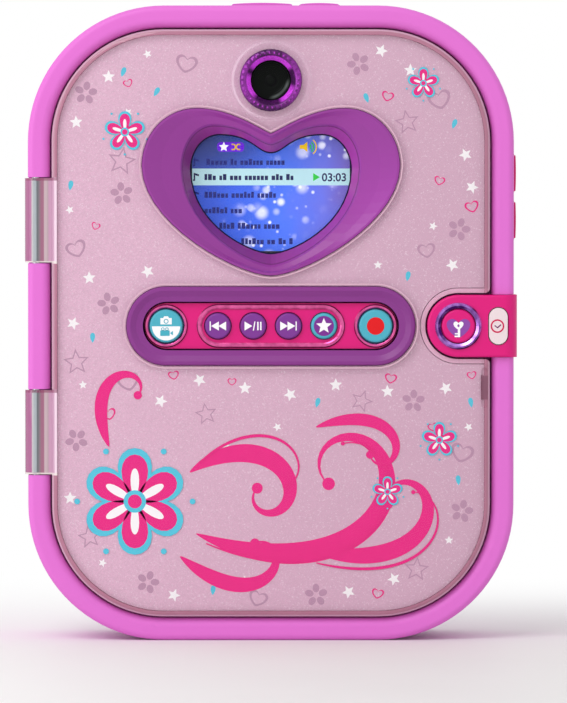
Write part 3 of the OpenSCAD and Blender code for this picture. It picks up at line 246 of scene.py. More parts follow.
class Finish:
    """One material: its tree, its shader and the place it reads its patterns from."""

    def __init__(self, name):
        self.material = bpy.data.materials.new(name)
        self.material.use_nodes = True
        self.tree = self.material.node_tree
        self.shader = self.tree.nodes["Principled BSDF"]
        self.where = add(self.tree, "TexCoord").outputs["Object"]

    def axes(self):
        return add(self.tree, "SeparateXYZ", {0: self.where}).outputs

    def from_axis(self, middle):
        """x, height and distance from a line that runs front to back at a height in metres."""
        tree = self.tree
        x, _, z = self.axes()[:3]
        up = less(tree, z, middle)
        squares = plus(tree, math_node(tree, "POWER", x, 2.0), math_node(tree, "POWER", up, 2.0))
        return x, up, math_node(tree, "SQRT", squares)

    def noise(self, scale, detail=2.0, rough=0.5):
        sockets = {"Vector": self.where, "Scale": scale, "Detail": detail, "Roughness": rough}
        return add(self.tree, "TexNoise", sockets).outputs["Fac"]

    def cells(self, scale):
        return add(self.tree, "TexVoronoi", {"Vector": self.where, "Scale": scale}).outputs

    def inset(self, half_x, half_z, radius, middle_z):
        """How far a place lies outside a rounded rectangle seen from the front, in metres."""
        tree = self.tree
        x, _, z = self.axes()[:3]
        over = [less(tree, math_node(tree, "ABSOLUTE", side), (half - radius) * MM)
                for side, half in ((x, half_x), (less(tree, z, middle_z * MM), half_z))]
        corner = [math_node(tree, "POWER", math_node(tree, "MAXIMUM", side, 0.0), 2.0)
                  for side in over]
        far = math_node(tree, "SQRT", plus(tree, *corner))
        near = math_node(tree, "MINIMUM", math_node(tree, "MAXIMUM", *over), 0.0)
        return less(tree, plus(tree, far, near), radius * MM)

    def slant(self):
        """How much the surface turns away from the eye, for the shine of clear plastic."""
        return add(self.tree, "LayerWeight", {"Blend": 0.4}).outputs["Facing"]

    def towards(self, direction):
        """How squarely the surface faces a direction of the piece's own axes, from -1 to 1."""
        unit = Vector(direction).normalized()
        faces = add(self.tree, "TexCoord").outputs["Normal"]
        return add(self.tree, "VectorMath", {0: faces, 1: tuple(unit)},
                   operation="DOT_PRODUCT").outputs["Value"]

    def drift(self, colour, spread, scale=24.0):
        """A colour that wanders slowly over the surface."""
        return mixed(self.tree, self.noise(scale), rgba(colour, 1 - spread),
                     rgba(colour, 1 + spread))

    def bump(self, height, depth, strength=0.5):
        sockets = {"Height": height, "Strength": strength, "Distance": depth * MM}
        return add(self.tree, "Bump", sockets).outputs[0]

    def set(self, **values):
        """Sets or links the shader's sockets, with _ for each space in their names."""
        for key, value in values.items():
            socket = self.shader.inputs[key.replace("_", " ")]
            if isinstance(value, bpy.types.NodeSocket):
                self.tree.links.new(value, socket)
            else:
                socket.default_value = value
        return self.material


def moulded(name, colour, rough, spread):
    """Moulded plastic with a drifting tone, a fine spark-eroded grain and an uneven gloss."""
    f = Finish(name)
    fine = f.noise(2400.0, 3.0, 0.6)
    return f.set(
        Base_Color=f.drift(colour, spread),
        Roughness=ranged(f.tree, fine, 0.3, 0.7, rough - 0.05, rough + 0.07),
        Specular_IOR_Level=0.32, Coat_Weight=0.04, Coat_Roughness=0.2,
        Normal=f.bump(fine, 0.008))


def bezel_plastic():
    """Purple plastic that turns plum down the heart's funnel, with painted shade along the crease
    between them and painted light and shade by which way each face turns.
    """
    c = colours()
    f = Finish("bezel_plastic")
    tree = f.tree
    fine = f.noise(2200.0, 2.0)
    x, deep, z = f.axes()[:3]
    down = ranged(tree, deep, -18.6 * MM, -18.2 * MM, smooth=True)
    # Painted shade: a darker line along the crease where the dish folds into the funnel.
    crease = within(tree, deep, -18.75 * MM, -18.3 * MM, 0.2 * MM)
    front = f.drift(c.purple, 0.05, 40.0)
    upper = ranged(tree, z, 111 * MM, 113 * MM)
    # Painted light: the heart bezel is lighter where its faces turn down and to the left, and
    # towards its lower right.
    lit = ranged(tree, f.towards((-0.4, -0.1, -0.9)), 0.1, 0.6, 0.0, 0.3, smooth=True)
    right = ranged(tree, x, 8 * MM, 38 * MM, 0.0, 0.45, smooth=True)
    right = times(tree, right, ranged(tree, z, 156 * MM, 136 * MM))
    lit = plus(tree, lit, right)
    front = mixed(tree, times(tree, lit, upper), front, rgba(c.purple, 1.6))
    # The strip bezel, below the heart, is made darker than the heart bezel.
    front = mixed(tree, upper, mixed(tree, 0.6, front, rgba(c.purple, 0.72)), front)
    # Painted light and shade on the funnel: its plum is lighter where it faces down and to the
    # left, darker where it faces away.
    funnel = mixed(tree, ranged(tree, f.towards((-0.8, -0.2, -0.5)), -0.4, 0.8),
                   rgba(c.plum, 0.8), rgba(c.plum, 1.35))
    colour = mixed(tree, down, front, funnel)
    return f.set(
        Base_Color=mixed(tree, crease, colour, screen_rgb(112, 32, 108)),
        Roughness=ranged(tree, fine, 0.3, 0.7, 0.32, 0.42),
        Specular_IOR_Level=0.35, Coat_Weight=0.08, Coat_Roughness=0.15,
        Normal=f.bump(fine, 0.006))


def glitter_card():
    """Pearly card with a very fine glitter, with painted shade that darkens it towards the lock's
    side.
    """
    c = colours()
    f = Finish("glitter_card")
    tree = f.tree
    flake = add(tree, "SeparateColor", {0: f.cells(2700.0)["Color"]}).outputs
    base = mixed(tree, f.noise(46.0, 3.0), rgba(c.card, 0.95), rgba(c.card, 1.05))
    # Painted shade: the card grows darker from left to right.
    across = ranged(tree, f.axes()[0], -66 * MM, 66 * MM)
    base = mixed(tree, across, base, rgba(c.card, 0.82))
    base = mixed(tree, ranged(tree, flake[0], 0.0, 1.0, 0.0, 0.6), base, rgba(c.card, 0.8))
    sparkle = ranged(tree, flake[1], 0.86, 0.98, 0.0, 0.32)
    base = mixed(tree, sparkle, base, (1.0, 0.94, 0.98, 1.0))
    return f.set(
        Base_Color=base,
        Roughness=ranged(tree, flake[2], 0.0, 1.0, 0.35, 0.65),
        Normal=f.bump(flake[1], 0.012, 0.2))


def clear_cover_plastic():
    """Clear plastic with painted light and shade at its edge, camera boss, nail slot and hinge
    barrels.
    """
    c = colours()
    f = Finish("clear_plastic")
    tree = f.tree
    x, y, z = f.axes()[:3]
    low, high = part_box("clear_cover")
    middle = (low.z + high.z) / 2 / MM
    tall = (high.z - low.z) / 2 / MM
    edge = f.inset(high.x / MM, tall, COVER_CORNER, middle)
    width = sizes().cover_edge
    # Near-solid edge band: the clear plastic's tint, dusky as painted shade of the cover's side
    # and the gap seen through it.
    band = ranged(tree, edge, -width - 0.1 * MM, -width + 0.1 * MM, smooth=True)
    # Painted highlight: a pale line along the cover's outer edge.
    rim = ranged(tree, edge, -0.75 * MM, -0.45 * MM, smooth=True)
    colour = mixed(tree, rim, f.drift(c.clear, 0.06, 90.0), rgba(c.clear_edge_highlight))
    alpha = mixed(tree, band, (0.02, 0.02, 0.02, 1), (0.8, 0.8, 0.8, 1))

    # Camera boss, painted highlights: a pale ring, most solid at the left, paler colour over the
    # boss's sides and raised top, and a faint pale ring round it.
    far = f.from_axis(middle_of("camera_ring")[1] * MM)[2]
    pale = within(tree, far, 11.35 * MM, 12.1 * MM, 0.12 * MM)
    side = ranged(tree, x, -10 * MM, 2 * MM, 0.55, 0.12)
    alpha = mixed(tree, times(tree, pale, side), alpha, (1, 1, 1, 1))
    boss_wall_highlight = within(tree, far, 11.2 * MM, 13.0 * MM, 0.12 * MM)
    colour = mixed(tree, boss_wall_highlight, colour, screen_rgb(240, 206, 226))
    boss_top_highlight = ranged(tree, y, (COVER_FRONT - 0.04) * MM, (COVER_FRONT - 0.14) * MM)
    colour = mixed(tree, boss_top_highlight, colour, screen_rgb(238, 206, 226))
    moat = within(tree, far, 12.15 * MM, 12.6 * MM, 0.15 * MM)
    alpha = mixed(tree, times(tree, moat, 0.1), alpha, (1, 1, 1, 1))

    # Painted shade: the nail slot's recess is darker and nearly solid.
    slot_x = math_node(tree, "ABSOLUTE", less(tree, x, NAIL_SLOT[0] * MM))
    slot_z = math_node(tree, "ABSOLUTE", less(tree, z, NAIL_SLOT[1] * MM))
    slot = times(tree, ranged(tree, slot_x, 1.0 * MM, 1.15 * MM, 1.0, 0.0),
                 ranged(tree, slot_z, 3.6 * MM, 3.8 * MM, 1.0, 0.0))
    slot = times(tree, slot, ranged(tree, y, (COVER_FRONT + 0.08) * MM, (COVER_FRONT + 0.2) * MM))
    colour = mixed(tree, slot, colour, screen_rgb(150, 92, 118))
    alpha = mixed(tree, slot, alpha, (0.9, 0.9, 0.9, 1))

    left, right = BARREL_ENDS
    across = ranged(tree, x, left * MM, right * MM)
    # The barrel's tones across its width, with painted highlights and shade.
    barrel = ramp(tree, across, [((at - left) / (right - left), (*screen_rgb(*rgb)[:3], see))
                                 for at, rgb, see in BARREL_TONES_AND_LIGHT])
    inside = head_shade = foot_glint = None
    for foot, head in KNUCKLES:
        spans = ((foot - 0.3, head + 0.3), (head - 0.7, head + 0.3), (foot - 0.3, foot + 0.5))
        here = [within(tree, z, low_z * MM, high_z * MM, 0.1 * MM) for low_z, high_z in spans]
        if inside is None:
            inside, head_shade, foot_glint = here
        else:
            inside, head_shade, foot_glint = [plus(tree, old, new)
                                   for old, new in zip((inside, head_shade, foot_glint), here)]
    inside = times(tree, inside, ranged(tree, x, -65.9 * MM, -65.8 * MM, 1.0, 0.0))
    # Painted shade at the head of each barrel and a painted glint at its foot.
    tint = mixed(tree, times(tree, head_shade, 0.7), barrel["Color"], screen_rgb(150, 60, 104))
    tint = mixed(tree, times(tree, foot_glint, 0.8), tint, screen_rgb(246, 236, 232))
    colour = mixed(tree, inside, colour, tint)
    alpha = mixed(tree, inside, alpha, barrel["Alpha"])
    slant = ranged(tree, math_node(tree, "POWER", f.slant(), 2.2), 0.0, 1.0, 0.0, 0.5)
    ripple = f.noise(150.0, 1.0)
    return f.set(
        Base_Color=colour,
        Roughness=ranged(tree, ripple, 0.3, 0.7, 0.04, 0.08),
        Alpha=math_node(tree, "MAXIMUM", alpha, slant),
        Coat_Weight=0.3, Coat_Roughness=0.03,
        Normal=f.bump(ripple, 0.01, 0.2))


def plated(name, colour, shade, lights, rough=0.12, flutes=None, metal=1.0):
    """Coloured vacuum plating: bright where it faces the lights' directions, deep elsewhere."""
    f = Finish(name)
    tree = f.tree
    bright = None
    for direction, start, end, gain in lights:
        lobe = ranged(tree, f.towards(direction), start, end, 0.0, gain, smooth=True)
        bright = lobe if bright is None else math_node(tree, "MAXIMUM", bright, lobe)
    uneven = 0.16
    # Fluted trim, painted highlights: bright spots along the flutes, and brighter towards the left
    # and right.
    if flutes:
        middle, count, inner, outer = flutes
        across, up, far = f.from_axis(middle * MM)
        turn = times(tree, math_node(tree, "ARCTAN2", up, across), count)
        spots = ranged(tree, math_node(tree, "SINE", turn), 0.2, 0.95, smooth=True)
        thin = within(tree, far, (inner + 0.75) * MM, (outer - 0.7) * MM, 0.35 * MM)
        spots = times(tree, spots, thin)
        strong = ranged(tree, f.noise(260.0), 0.35, 0.65, 0.3, 1.0)
        spots = times(tree, spots, strong)
        side = ranged(tree, math_node(tree, "ABSOLUTE", across), 3.0 * MM, 8.5 * MM, 0.06, 0.32)
        band = ranged(tree, far, inner * MM, (inner + 0.2) * MM)
        bright = mixed(tree, band, bright, math_node(tree, "MAXIMUM", spots, side))
        uneven = 0.05
    streak = f.noise(900.0, 2.0)
    facet = ranged(tree, f.noise(520.0, 1.0), 0.35, 0.65, -uneven, uneven)
    bright = plus(tree, bright, facet)
    clamp = math_node(tree, "MINIMUM", math_node(tree, "MAXIMUM", bright, 0.0), 1.0)
    return f.set(
        Base_Color=mixed(tree, clamp, rgba(shade), f.drift(colour, 0.05, 160.0)), Metallic=metal,
        Roughness=ranged(tree, streak, 0.3, 0.7, rough, rough + 0.08),
        Normal=f.bump(streak, 0.003, 0.3))


def ink(name, colour, rough=0.42, glow=0.0):
    """Printed ink with a slightly uneven cover."""
    f = Finish(name)
    shade = f.drift(colour, 0.04, 300.0)
    values = {"Base_Color": shade, "Specular_IOR_Level": 0.2,
              "Roughness": ranged(f.tree, f.noise(1800.0), 0.3, 0.7, rough - 0.05, rough + 0.06)}
    if glow:
        values.update(Emission_Color=shade, Emission_Strength=glow)
    return f.set(**values)


def screen_picture_finish():
    """A blue picture, violet at the right, with a slanting drift of soft points of light."""
    f = Finish("screen_picture")
    tree = f.tree
    x, _, z = f.axes()[:3]
    across = ranged(tree, x, -25 * MM, 25 * MM)
    up = ranged(tree, z, 120 * MM, 156 * MM)
    wave = ranged(tree, f.noise(70.0, 2.0), 0.3, 0.7, -0.08, 0.08)
    place = plus(tree, across, wave)
    picture = ramp(tree, place, [
        (0.0, screen_rgb(20, 62, 176)), (0.3, screen_rgb(34, 86, 212)),
        (0.55, screen_rgb(60, 106, 226)), (0.78, screen_rgb(92, 104, 212)),
        (1.0, screen_rgb(104, 88, 180))])["Color"]
    corner = times(tree, ranged(tree, up, 0.45, 1.0, 0.0, 0.9, smooth=True),
                   ranged(tree, place, 0.1, 0.62, 1.0, 0.15, smooth=True))
    picture = mixed(tree, corner, picture, screen_rgb(14, 36, 104))
    slope = less(tree, across, times(tree, up, 0.55))
    drift = within(tree, slope, 0.14, 0.56, 0.12)
    for scale, size, gain in ((150.0, 0.42, 0.7), (240.0, 0.4, 0.8), (420.0, 0.3, 0.9)):
        cell = f.cells(scale)
        spot = ranged(tree, cell["Distance"], size, size * 0.3, 0.0, gain, smooth=True)
        chance = add(tree, "SeparateColor", {0: cell["Color"]}).outputs[0]
        spot = times(tree, spot, ranged(tree, chance, 0.25, 0.5))
        spot = times(tree, spot, drift)
        picture = mixed(tree, spot, picture, (0.86, 0.88, 1.0, 1.0))
    return f.set(Base_Color=picture, Roughness=0.35, Emission_Color=picture,
                 Emission_Strength=0.45)


def lens_glass():
    """Thin clear glass with a faint grey tint, which shines where it is seen at a slant."""
    f = Finish("lens_glass")
    tree = f.tree
    slant = math_node(tree, "POWER", f.slant(), 1.6)
    ripple = f.noise(150.0, 1.0)
    return f.set(
        Base_Color=f.drift((0.7, 0.72, 0.8), 0.03, 30.0),
        Roughness=ranged(tree, ripple, 0.3, 0.7, 0.03, 0.07),
        Alpha=ranged(tree, slant, 0.0, 1.0, 0.02, 0.5),
        Coat_Weight=0.0, Coat_Roughness=0.03,
        Normal=f.bump(ripple, 0.01, 0.2))


def barrel_finish():
    """Black camera barrel with fine grooves and a pale glint at its lower right."""
    f = Finish("lens_black")
    tree = f.tree
    x, up, far = f.from_axis(middle_of("camera_lens")[1] * MM)
    wave = math_node(tree, "SINE", times(tree, far, 2 * math.pi / (LENS_GROOVE * MM)))
    groove = ranged(tree, wave, -1.0, 1.0)
    front = ranged(tree, far, 0.4 * MM, 5.6 * MM, 1.0, 0.4)
    # Painted highlights: lighter grooves and a pale glint at the lower right.
    lit = within(tree, less(tree, x, up), 5.6 * MM, 7.2 * MM, 1.2 * MM)
    glint = times(tree, lit, within(tree, far, 4.7 * MM, 5.5 * MM, 0.3 * MM))
    black = mixed(tree, times(tree, groove, front), screen_rgb(3, 5, 4), screen_rgb(18, 24, 20))
    rings = times(tree, times(tree, groove, lit), 0.12)
    black = mixed(tree, rings, black, screen_rgb(150, 162, 156))
    black = mixed(tree, times(tree, glint, 0.3), black, screen_rgb(176, 188, 182))
    return f.set(
        Base_Color=black, Roughness=ranged(tree, f.noise(900.0), 0.3, 0.7, 0.3, 0.4),
        Specular_IOR_Level=0.08, Normal=f.bump(groove, 0.03, 0.4))


def board_finish():
    """Green circuit board with lighter tracks under its lacquer."""
    f = Finish("circuit_board")
    tree = f.tree
    tracks = add(tree, "TexBrick", {
        "Vector": add(tree, "Mapping", {0: f.where, 2: (math.pi / 2, 0.0, 0.0)}).outputs[0],
        "Scale": 160.0, "Mortar Size": 0.05, "Color1": (0.01, 0.12, 0.05, 1),
        "Color2": (0.012, 0.15, 0.06, 1), "Mortar": (0.05, 0.32, 0.14, 1)}).outputs["Color"]
    return f.set(Base_Color=tracks, Roughness=0.3, Coat_Weight=0.4, Coat_Roughness=0.15,
                 Normal=f.bump(f.noise(700.0), 0.02))


def cell_wrap():
    """Battery sleeve: a dark body with a copper band towards each terminal."""
    f = Finish("cell_wrap")
    tree = f.tree
    x = math_node(tree, "ABSOLUTE", f.axes()[0])
    band = ranged(tree, x, 36 * MM, 36.4 * MM)
    body = f.drift((0.03, 0.03, 0.045), 0.2, 80.0)
    return f.set(Base_Color=mixed(tree, band, body, (0.55, 0.27, 0.1, 1.0)), Metallic=0.5,
                 Roughness=0.3, Normal=f.bump(f.noise(500.0), 0.01))


def paper_pages():
    """Notebook: pink boards at both faces and ruled white leaves between them."""
    c = colours()
    f = Finish("paper_pages")
    tree = f.tree
    y = f.axes()[1]
    low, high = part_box("notebook")
    inside = times(tree, ranged(tree, y, low.y + 0.55 * MM, low.y + 0.62 * MM),
                   ranged(tree, y, high.y - 0.62 * MM, high.y - 0.55 * MM, 1.0, 0.0))
    leaf = add(tree, "TexWave", {"Vector": f.where, "Scale": 1500.0, "Distortion": 0.4},
               bands_direction="Y").outputs["Fac"]
    paper = mixed(tree, leaf, (0.86, 0.83, 0.76, 1), (0.62, 0.59, 0.54, 1))
    return f.set(Base_Color=mixed(tree, inside, f.drift(c.hot_pink, 0.08, 90.0), paper),
                 Roughness=0.55, Normal=f.bump(f.noise(1100.0, 3.0), 0.03))


def steel():
    """Turned steel with fine marks round it."""
    f = Finish("steel")
    marks = add(f.tree, "TexWave", {"Vector": f.where, "Scale": 1400.0, "Distortion": 1.5},
                bands_direction="Z").outputs["Fac"]
    return f.set(Base_Color=f.drift((0.62, 0.63, 0.65), 0.06, 200.0), Metallic=1.0,
                 Roughness=ranged(f.tree, marks, 0.0, 1.0, 0.2, 0.3),
                 Normal=f.bump(marks, 0.003, 0.3))


# Outlines, as lists of (x, z) points in millimetres round a motif's own centre

def ellipse(wide, tall, n=28):
    return [(wide * math.cos(2 * math.pi * i / n), tall * math.sin(2 * math.pi * i / n))
            for i in range(n)]


def disc(radius, n=28):
    return ellipse(radius, radius, n)


def star(tips, outer, inner, turn=90.0):
    points = []
    for i in range(2 * tips):
        a = math.radians(turn) + math.pi * i / tips
        r = outer if i % 2 == 0 else inner
        points.append((r * math.cos(a), r * math.sin(a)))
    return points


def box(wide, tall, corner=0.0, n=5):
    """A rectangle about the centre, with round corners."""
    if not corner:
        return [(-wide, -tall), (wide, -tall), (wide, tall), (-wide, tall)]
    points = []
    for k, (sx, sz) in enumerate(((1, 1), (-1, 1), (-1, -1), (1, -1))):
        for i in range(n + 1):
            a = math.pi / 2 * (k + i / n)
            points.append((sx * (wide - corner) + corner * math.cos(a),
                           sz * (tall - corner) + corner * math.sin(a)))
    return points


def moved(points, x=0.0, z=0.0, size=1.0, turn=0.0):
    a = math.radians(turn)
    return [(x + size * (px * math.cos(a) - pz * math.sin(a)),
             z + size * (px * math.sin(a) + pz * math.cos(a))) for px, pz in points]


def drop(long, wide):
    """A leaf or raindrop, with its point at the centre and its round end along +x."""
    points = []
    n = 20
    for i in range(n):
        t = 2 * math.pi * i / n
        u = (1 - math.cos(t)) / 2
        points.append((long * u, wide * math.sin(t) * math.sin(t / 2) ** 0.8))
    return points


def cubic(a, b, c, d, n):
    """Points on a cubic curve, without its last."""
    points = []
    for t in (i / n for i in range(n)):
        u = 1 - t
        points.append(tuple(u ** 3 * p + 3 * u * u * t * q + 3 * u * t * t * r + t ** 3 * s
                            for p, q, r, s in zip(a, b, c, d)))
    return points


def heart(p):
    """A heart from its eleven numbers."""
    half, top, notch, tip, lobe, middle, run, rise, lobe_run, side_run, tip_run = p
    n = 16
    right = (cubic((0, notch), (run * lobe, notch + rise * (top - notch)), (lobe_run * lobe, top),
                   (lobe, top), n)
             + cubic((lobe, top), (lobe + 0.58 * (half - lobe), top),
                     (half, middle + 0.55 * (top - middle)), (half, middle), n)
             + cubic((half, middle), (0.99 * half, middle + side_run * (tip - middle)),
                     (tip_run * half, tip), (0, tip), n))
    left = [(-x, z) for x, z in reversed(right[1:])]
    return right + [(0, tip)] + left


def grown(outline, by):
    """A heart's numbers, with its edge moved outwards."""
    half, top, notch, tip = outline[:4]
    return (half + by, top + by, notch + by, tip - by, *outline[4:])


def small_heart(size):
    return moved(heart(PRINTED_HEART), size=size)


def swirl(x, z, heading, reach, bend, curl, wide):
    """A band that swells, tapers and curls up towards its end: its path and its widths."""
    path, widths = [], []
    n = 54
    a = math.radians(heading)
    for i in range(n + 1):
        t = i / n
        path.append((x, z))
        widths.append(wide * math.sin(math.pi * min(t, 0.999) ** 0.7) ** 1.2 + 0.35)
        a += math.radians(bend + (curl - bend) * t ** 2.2) * reach / n / 10
        x += math.cos(a) * reach / n
        z += math.sin(a) * reach / n
    return path, widths


# Thin pieces

def deselect():
    if bpy.context.object and bpy.context.object.mode != "OBJECT":
        bpy.ops.object.mode_set(mode="OBJECT")
    bpy.ops.object.select_all(action="DESELECT")


def laid(points, front):
    """A filled outline at a depth, in millimetres, on which an edit goes on."""
    deselect()
    bpy.ops.mesh.primitive_circle_add(vertices=len(points), fill_type="NGON")
    shape = bpy.context.object
    for vertex, (x, z) in zip(shape.data.vertices, points):
        vertex.co = (x * MM, front * MM, z * MM)
    return shape


def raised(shape, thick):
    """Gives the open outline its thickness towards the front."""
    bpy.context.view_layer.objects.active = shape
    bpy.ops.object.mode_set(mode="EDIT")
    bpy.ops.mesh.select_all(action="SELECT")
    bpy.ops.mesh.extrude_region_move(TRANSFORM_OT_translate={"value": (0, -thick * MM, 0)})
    bpy.ops.mesh.select_all(action="SELECT")
    bpy.ops.mesh.normals_make_consistent(inside=False)
    bpy.ops.object.mode_set(mode="OBJECT")
    return shape


def filled(points, front, thick):
    """A solid thin shape."""
    return raised(laid(points, front), thick)


def framed(outer, inner, front, thick):
    """A thin shape between two outlines with as many points each."""
    shape = laid(outer, front)
    hole = laid(inner, front)
    for piece in (shape, hole):
        deselect()
        piece.select_set(True)
        bpy.context.view_layer.objects.active = piece
        bpy.ops.object.mode_set(mode="EDIT")
        bpy.ops.mesh.select_all(action="SELECT")
        bpy.ops.mesh.delete(type="ONLY_FACE")
        bpy.ops.object.mode_set(mode="OBJECT")
    both = joined("frame", [shape, hole])
    bpy.ops.object.mode_set(mode="EDIT")
    bpy.ops.mesh.select_all(action="SELECT")
    bpy.ops.mesh.bridge_edge_loops()
    bpy.ops.object.mode_set(mode="OBJECT")
    return raised(both, thick)


def ribbon(path, widths, front, thick):
    """A thin band along a path of points, with its width at each."""
    deselect()
    n = len(path)
    bpy.ops.mesh.primitive_grid_add(x_subdivisions=n - 1, y_subdivisions=1)
    band = bpy.context.object
    for i in range(n):
        ahead, behind = path[min(i + 1, n - 1)], path[max(i - 1, 0)]
        along = Vector((ahead[0] - behind[0], ahead[1] - behind[1])).normalized()
        for side in (0, 1):
            offset = (side - 0.5) * widths[i]
            x, z = path[i][0] - along.y * offset, path[i][1] + along.x * offset
            band.data.vertices[side * n + i].co = (x * MM, front * MM, z * MM)
    return raised(band, thick)


def digits(text, x, z, tall, front, thick):
    """Plain figures, left end at x and foot at z."""
    deselect()
    bpy.ops.object.text_add()
    words = bpy.context.object
    words.data.body = text
    words.data.size = tall * MM * 1.4
    words.data.resolution_u = 4
    words.data.extrude = thick / 2 * MM
    words.data.offset = 0.07 * MM
    bpy.ops.object.convert(target="MESH")
    words = bpy.context.object
    turn = Matrix.Translation((x * MM, (front - thick / 2) * MM, z * MM)) @ Matrix.Rotation(
        math.pi / 2, 4, "X")
    words.data.transform(turn)
    return words


def joined(name, shapes):
    """Several shapes as one piece."""
    deselect()
    for shape in shapes:
        shape.select_set(True)
    bpy.context.view_layer.objects.active = shapes[0]
    if len(shapes) > 1:
        bpy.ops.object.join()
    piece = bpy.context.object
    piece.name = name
    piece.data.name = name
    return piece


def finished(name, shapes, material, body):
    """A named piece with its material, on the body that carries it."""
    piece = joined(name, shapes)
    piece.data.materials.clear()
    piece.data.materials.append(material)
    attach(piece, body)
    return piece


def paint(material, *names):
    """Gives CAD nodes their finish."""
    for name in names:
        mesh = NODES[name].data
        mesh.materials.clear()
        mesh.materials.append(material)


# Operators

class DIARY_OT_case(bpy.types.Operator):
    """Finish the moulded case, its deck and what screws it together"""
    bl_idname = "diary.case"
    bl_label = "Case"

    def execute(self, context):
        c = colours()
        case = moulded("case_plastic", c.case, 0.44, 0.025)
        paint(case, "back_shell", "front_frame", "deck_panel", "battery_door", "port_cover",
              "power_button")
        pink = moulded("hot_pink_plastic", c.hot_pink, 0.4, 0.04)
        paint(pink, "louder_button", "quieter_button", "lock_housing", "key_button",
              "button_plate")
        paint(steel(), "case_screws", "battery_door_screw", "hinge_pins", "lock_bolt",
              "lock_keeper", "lock_motor", "battery_contacts", "microphone")
        return {"FINISHED"}


class DIARY_OT_cover(bpy.types.Operator):
    """Finish the clear cover, its bezels and its lining"""
    bl_idname = "diary.cover"
    bl_label = "Cover"

    def execute(self, context):
        c = colours()
        paint(clear_cover_plastic(), "clear_cover")
        paint(glitter_card(), "art_card")
        paint(bezel_plastic(), "heart_bezel", "strip_bezel")
        paint(moulded("liner_plastic", c.liner, 0.46, 0.03), "cover_liner", "card_support",
              "latch_frame", "storage_tray")

        def edge(by):
            return moved(heart(grown(HEART_HOLE, by)), 0, heart_line())

        def stadium(by):
            wide, tall = [half + by for half in STADIUM]
            return moved(box(wide, tall, tall - 0.01, 14), *middle_of("strip_bezel"))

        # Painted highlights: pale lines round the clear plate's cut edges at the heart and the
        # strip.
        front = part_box("clear_cover")[1].y / MM - COVER_DEPTH
        pieces = [framed(shape(1.0), shape(0.6), front + 0.005, 0.02) for shape in (edge, stadium)]
        finished("plate_edge_highlights", pieces, ink("plate_edge_highlights", c.clear_edge_highlight, 0.3), "cover")
        return {"FINISHED"}


class DIARY_OT_camera(bpy.types.Operator):
    """Finish the camera's fluted trim and its barrel"""
    bl_idname = "diary.camera"
    bl_label = "Camera"

    def execute(self, context):
        c = colours()
        trim = [((0, 0, -1), 0.3, 0.46, 0.85), ((0.966, 0, 0.26), 0.56, 0.68, 1.0),
                ((-0.77, 0, 0.64), 0.6, 0.7, 0.95), ((-1, 0, 0), 0.72, 0.9, 0.55)]
        middle = middle_of("camera_ring")[1]
        paint(plated("purple_chrome", c.purple_chrome, c.plating_shade, trim, 0.24,
                     (middle, *FLUTES), 0.4), "camera_ring")
        halo = [((-0.5, -0.25, 0.75), 0.15, 0.7, 0.9), ((0.85, -0.2, 0.1), 0.7, 0.9, 1.0),
                ((-0.8, -0.3, -0.5), 0.6, 0.9, 0.7), ((0, -1, 0), 0.9, 1.0, 0.45)]
        paint(plated("violet_chrome", screen_rgb(206, 150, 250), screen_rgb(66, 20, 96), halo,
                     0.15), "key_button_ring")
        paint(barrel_finish(), "camera_lens")
        return {"FINISHED"}


class DIARY_OT_insides(bpy.types.Operator):
    """Finish the boards, the cells and the notebook"""
    bl_idname = "diary.insides"
    bl_label = "Insides"

    def execute(self, context):
        c = colours()
        paint(board_finish(), "main_board", "lock_board")
        paint(moulded("black_plastic", (0.02, 0.02, 0.022), 0.4, 0.2), "camera_module",
              "port_block", "speaker", "display_module")
        paint(moulded("silicone", (0.62, 0.6, 0.6), 0.55, 0.05), "keypad_membrane")
        paint(cell_wrap(), "batteries")
        paint(paper_pages(), "notebook")
        paint(moulded("white_plastic", c.white_plastic, 0.4, 0.03), "clock_button", "lock_pinion")
        return {"FINISHED"}


def heart_line():
    """The height that the heart bezel's outlines are drawn from, in millimetres."""
    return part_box("heart_bezel")[0].z / MM + HEART_LINE


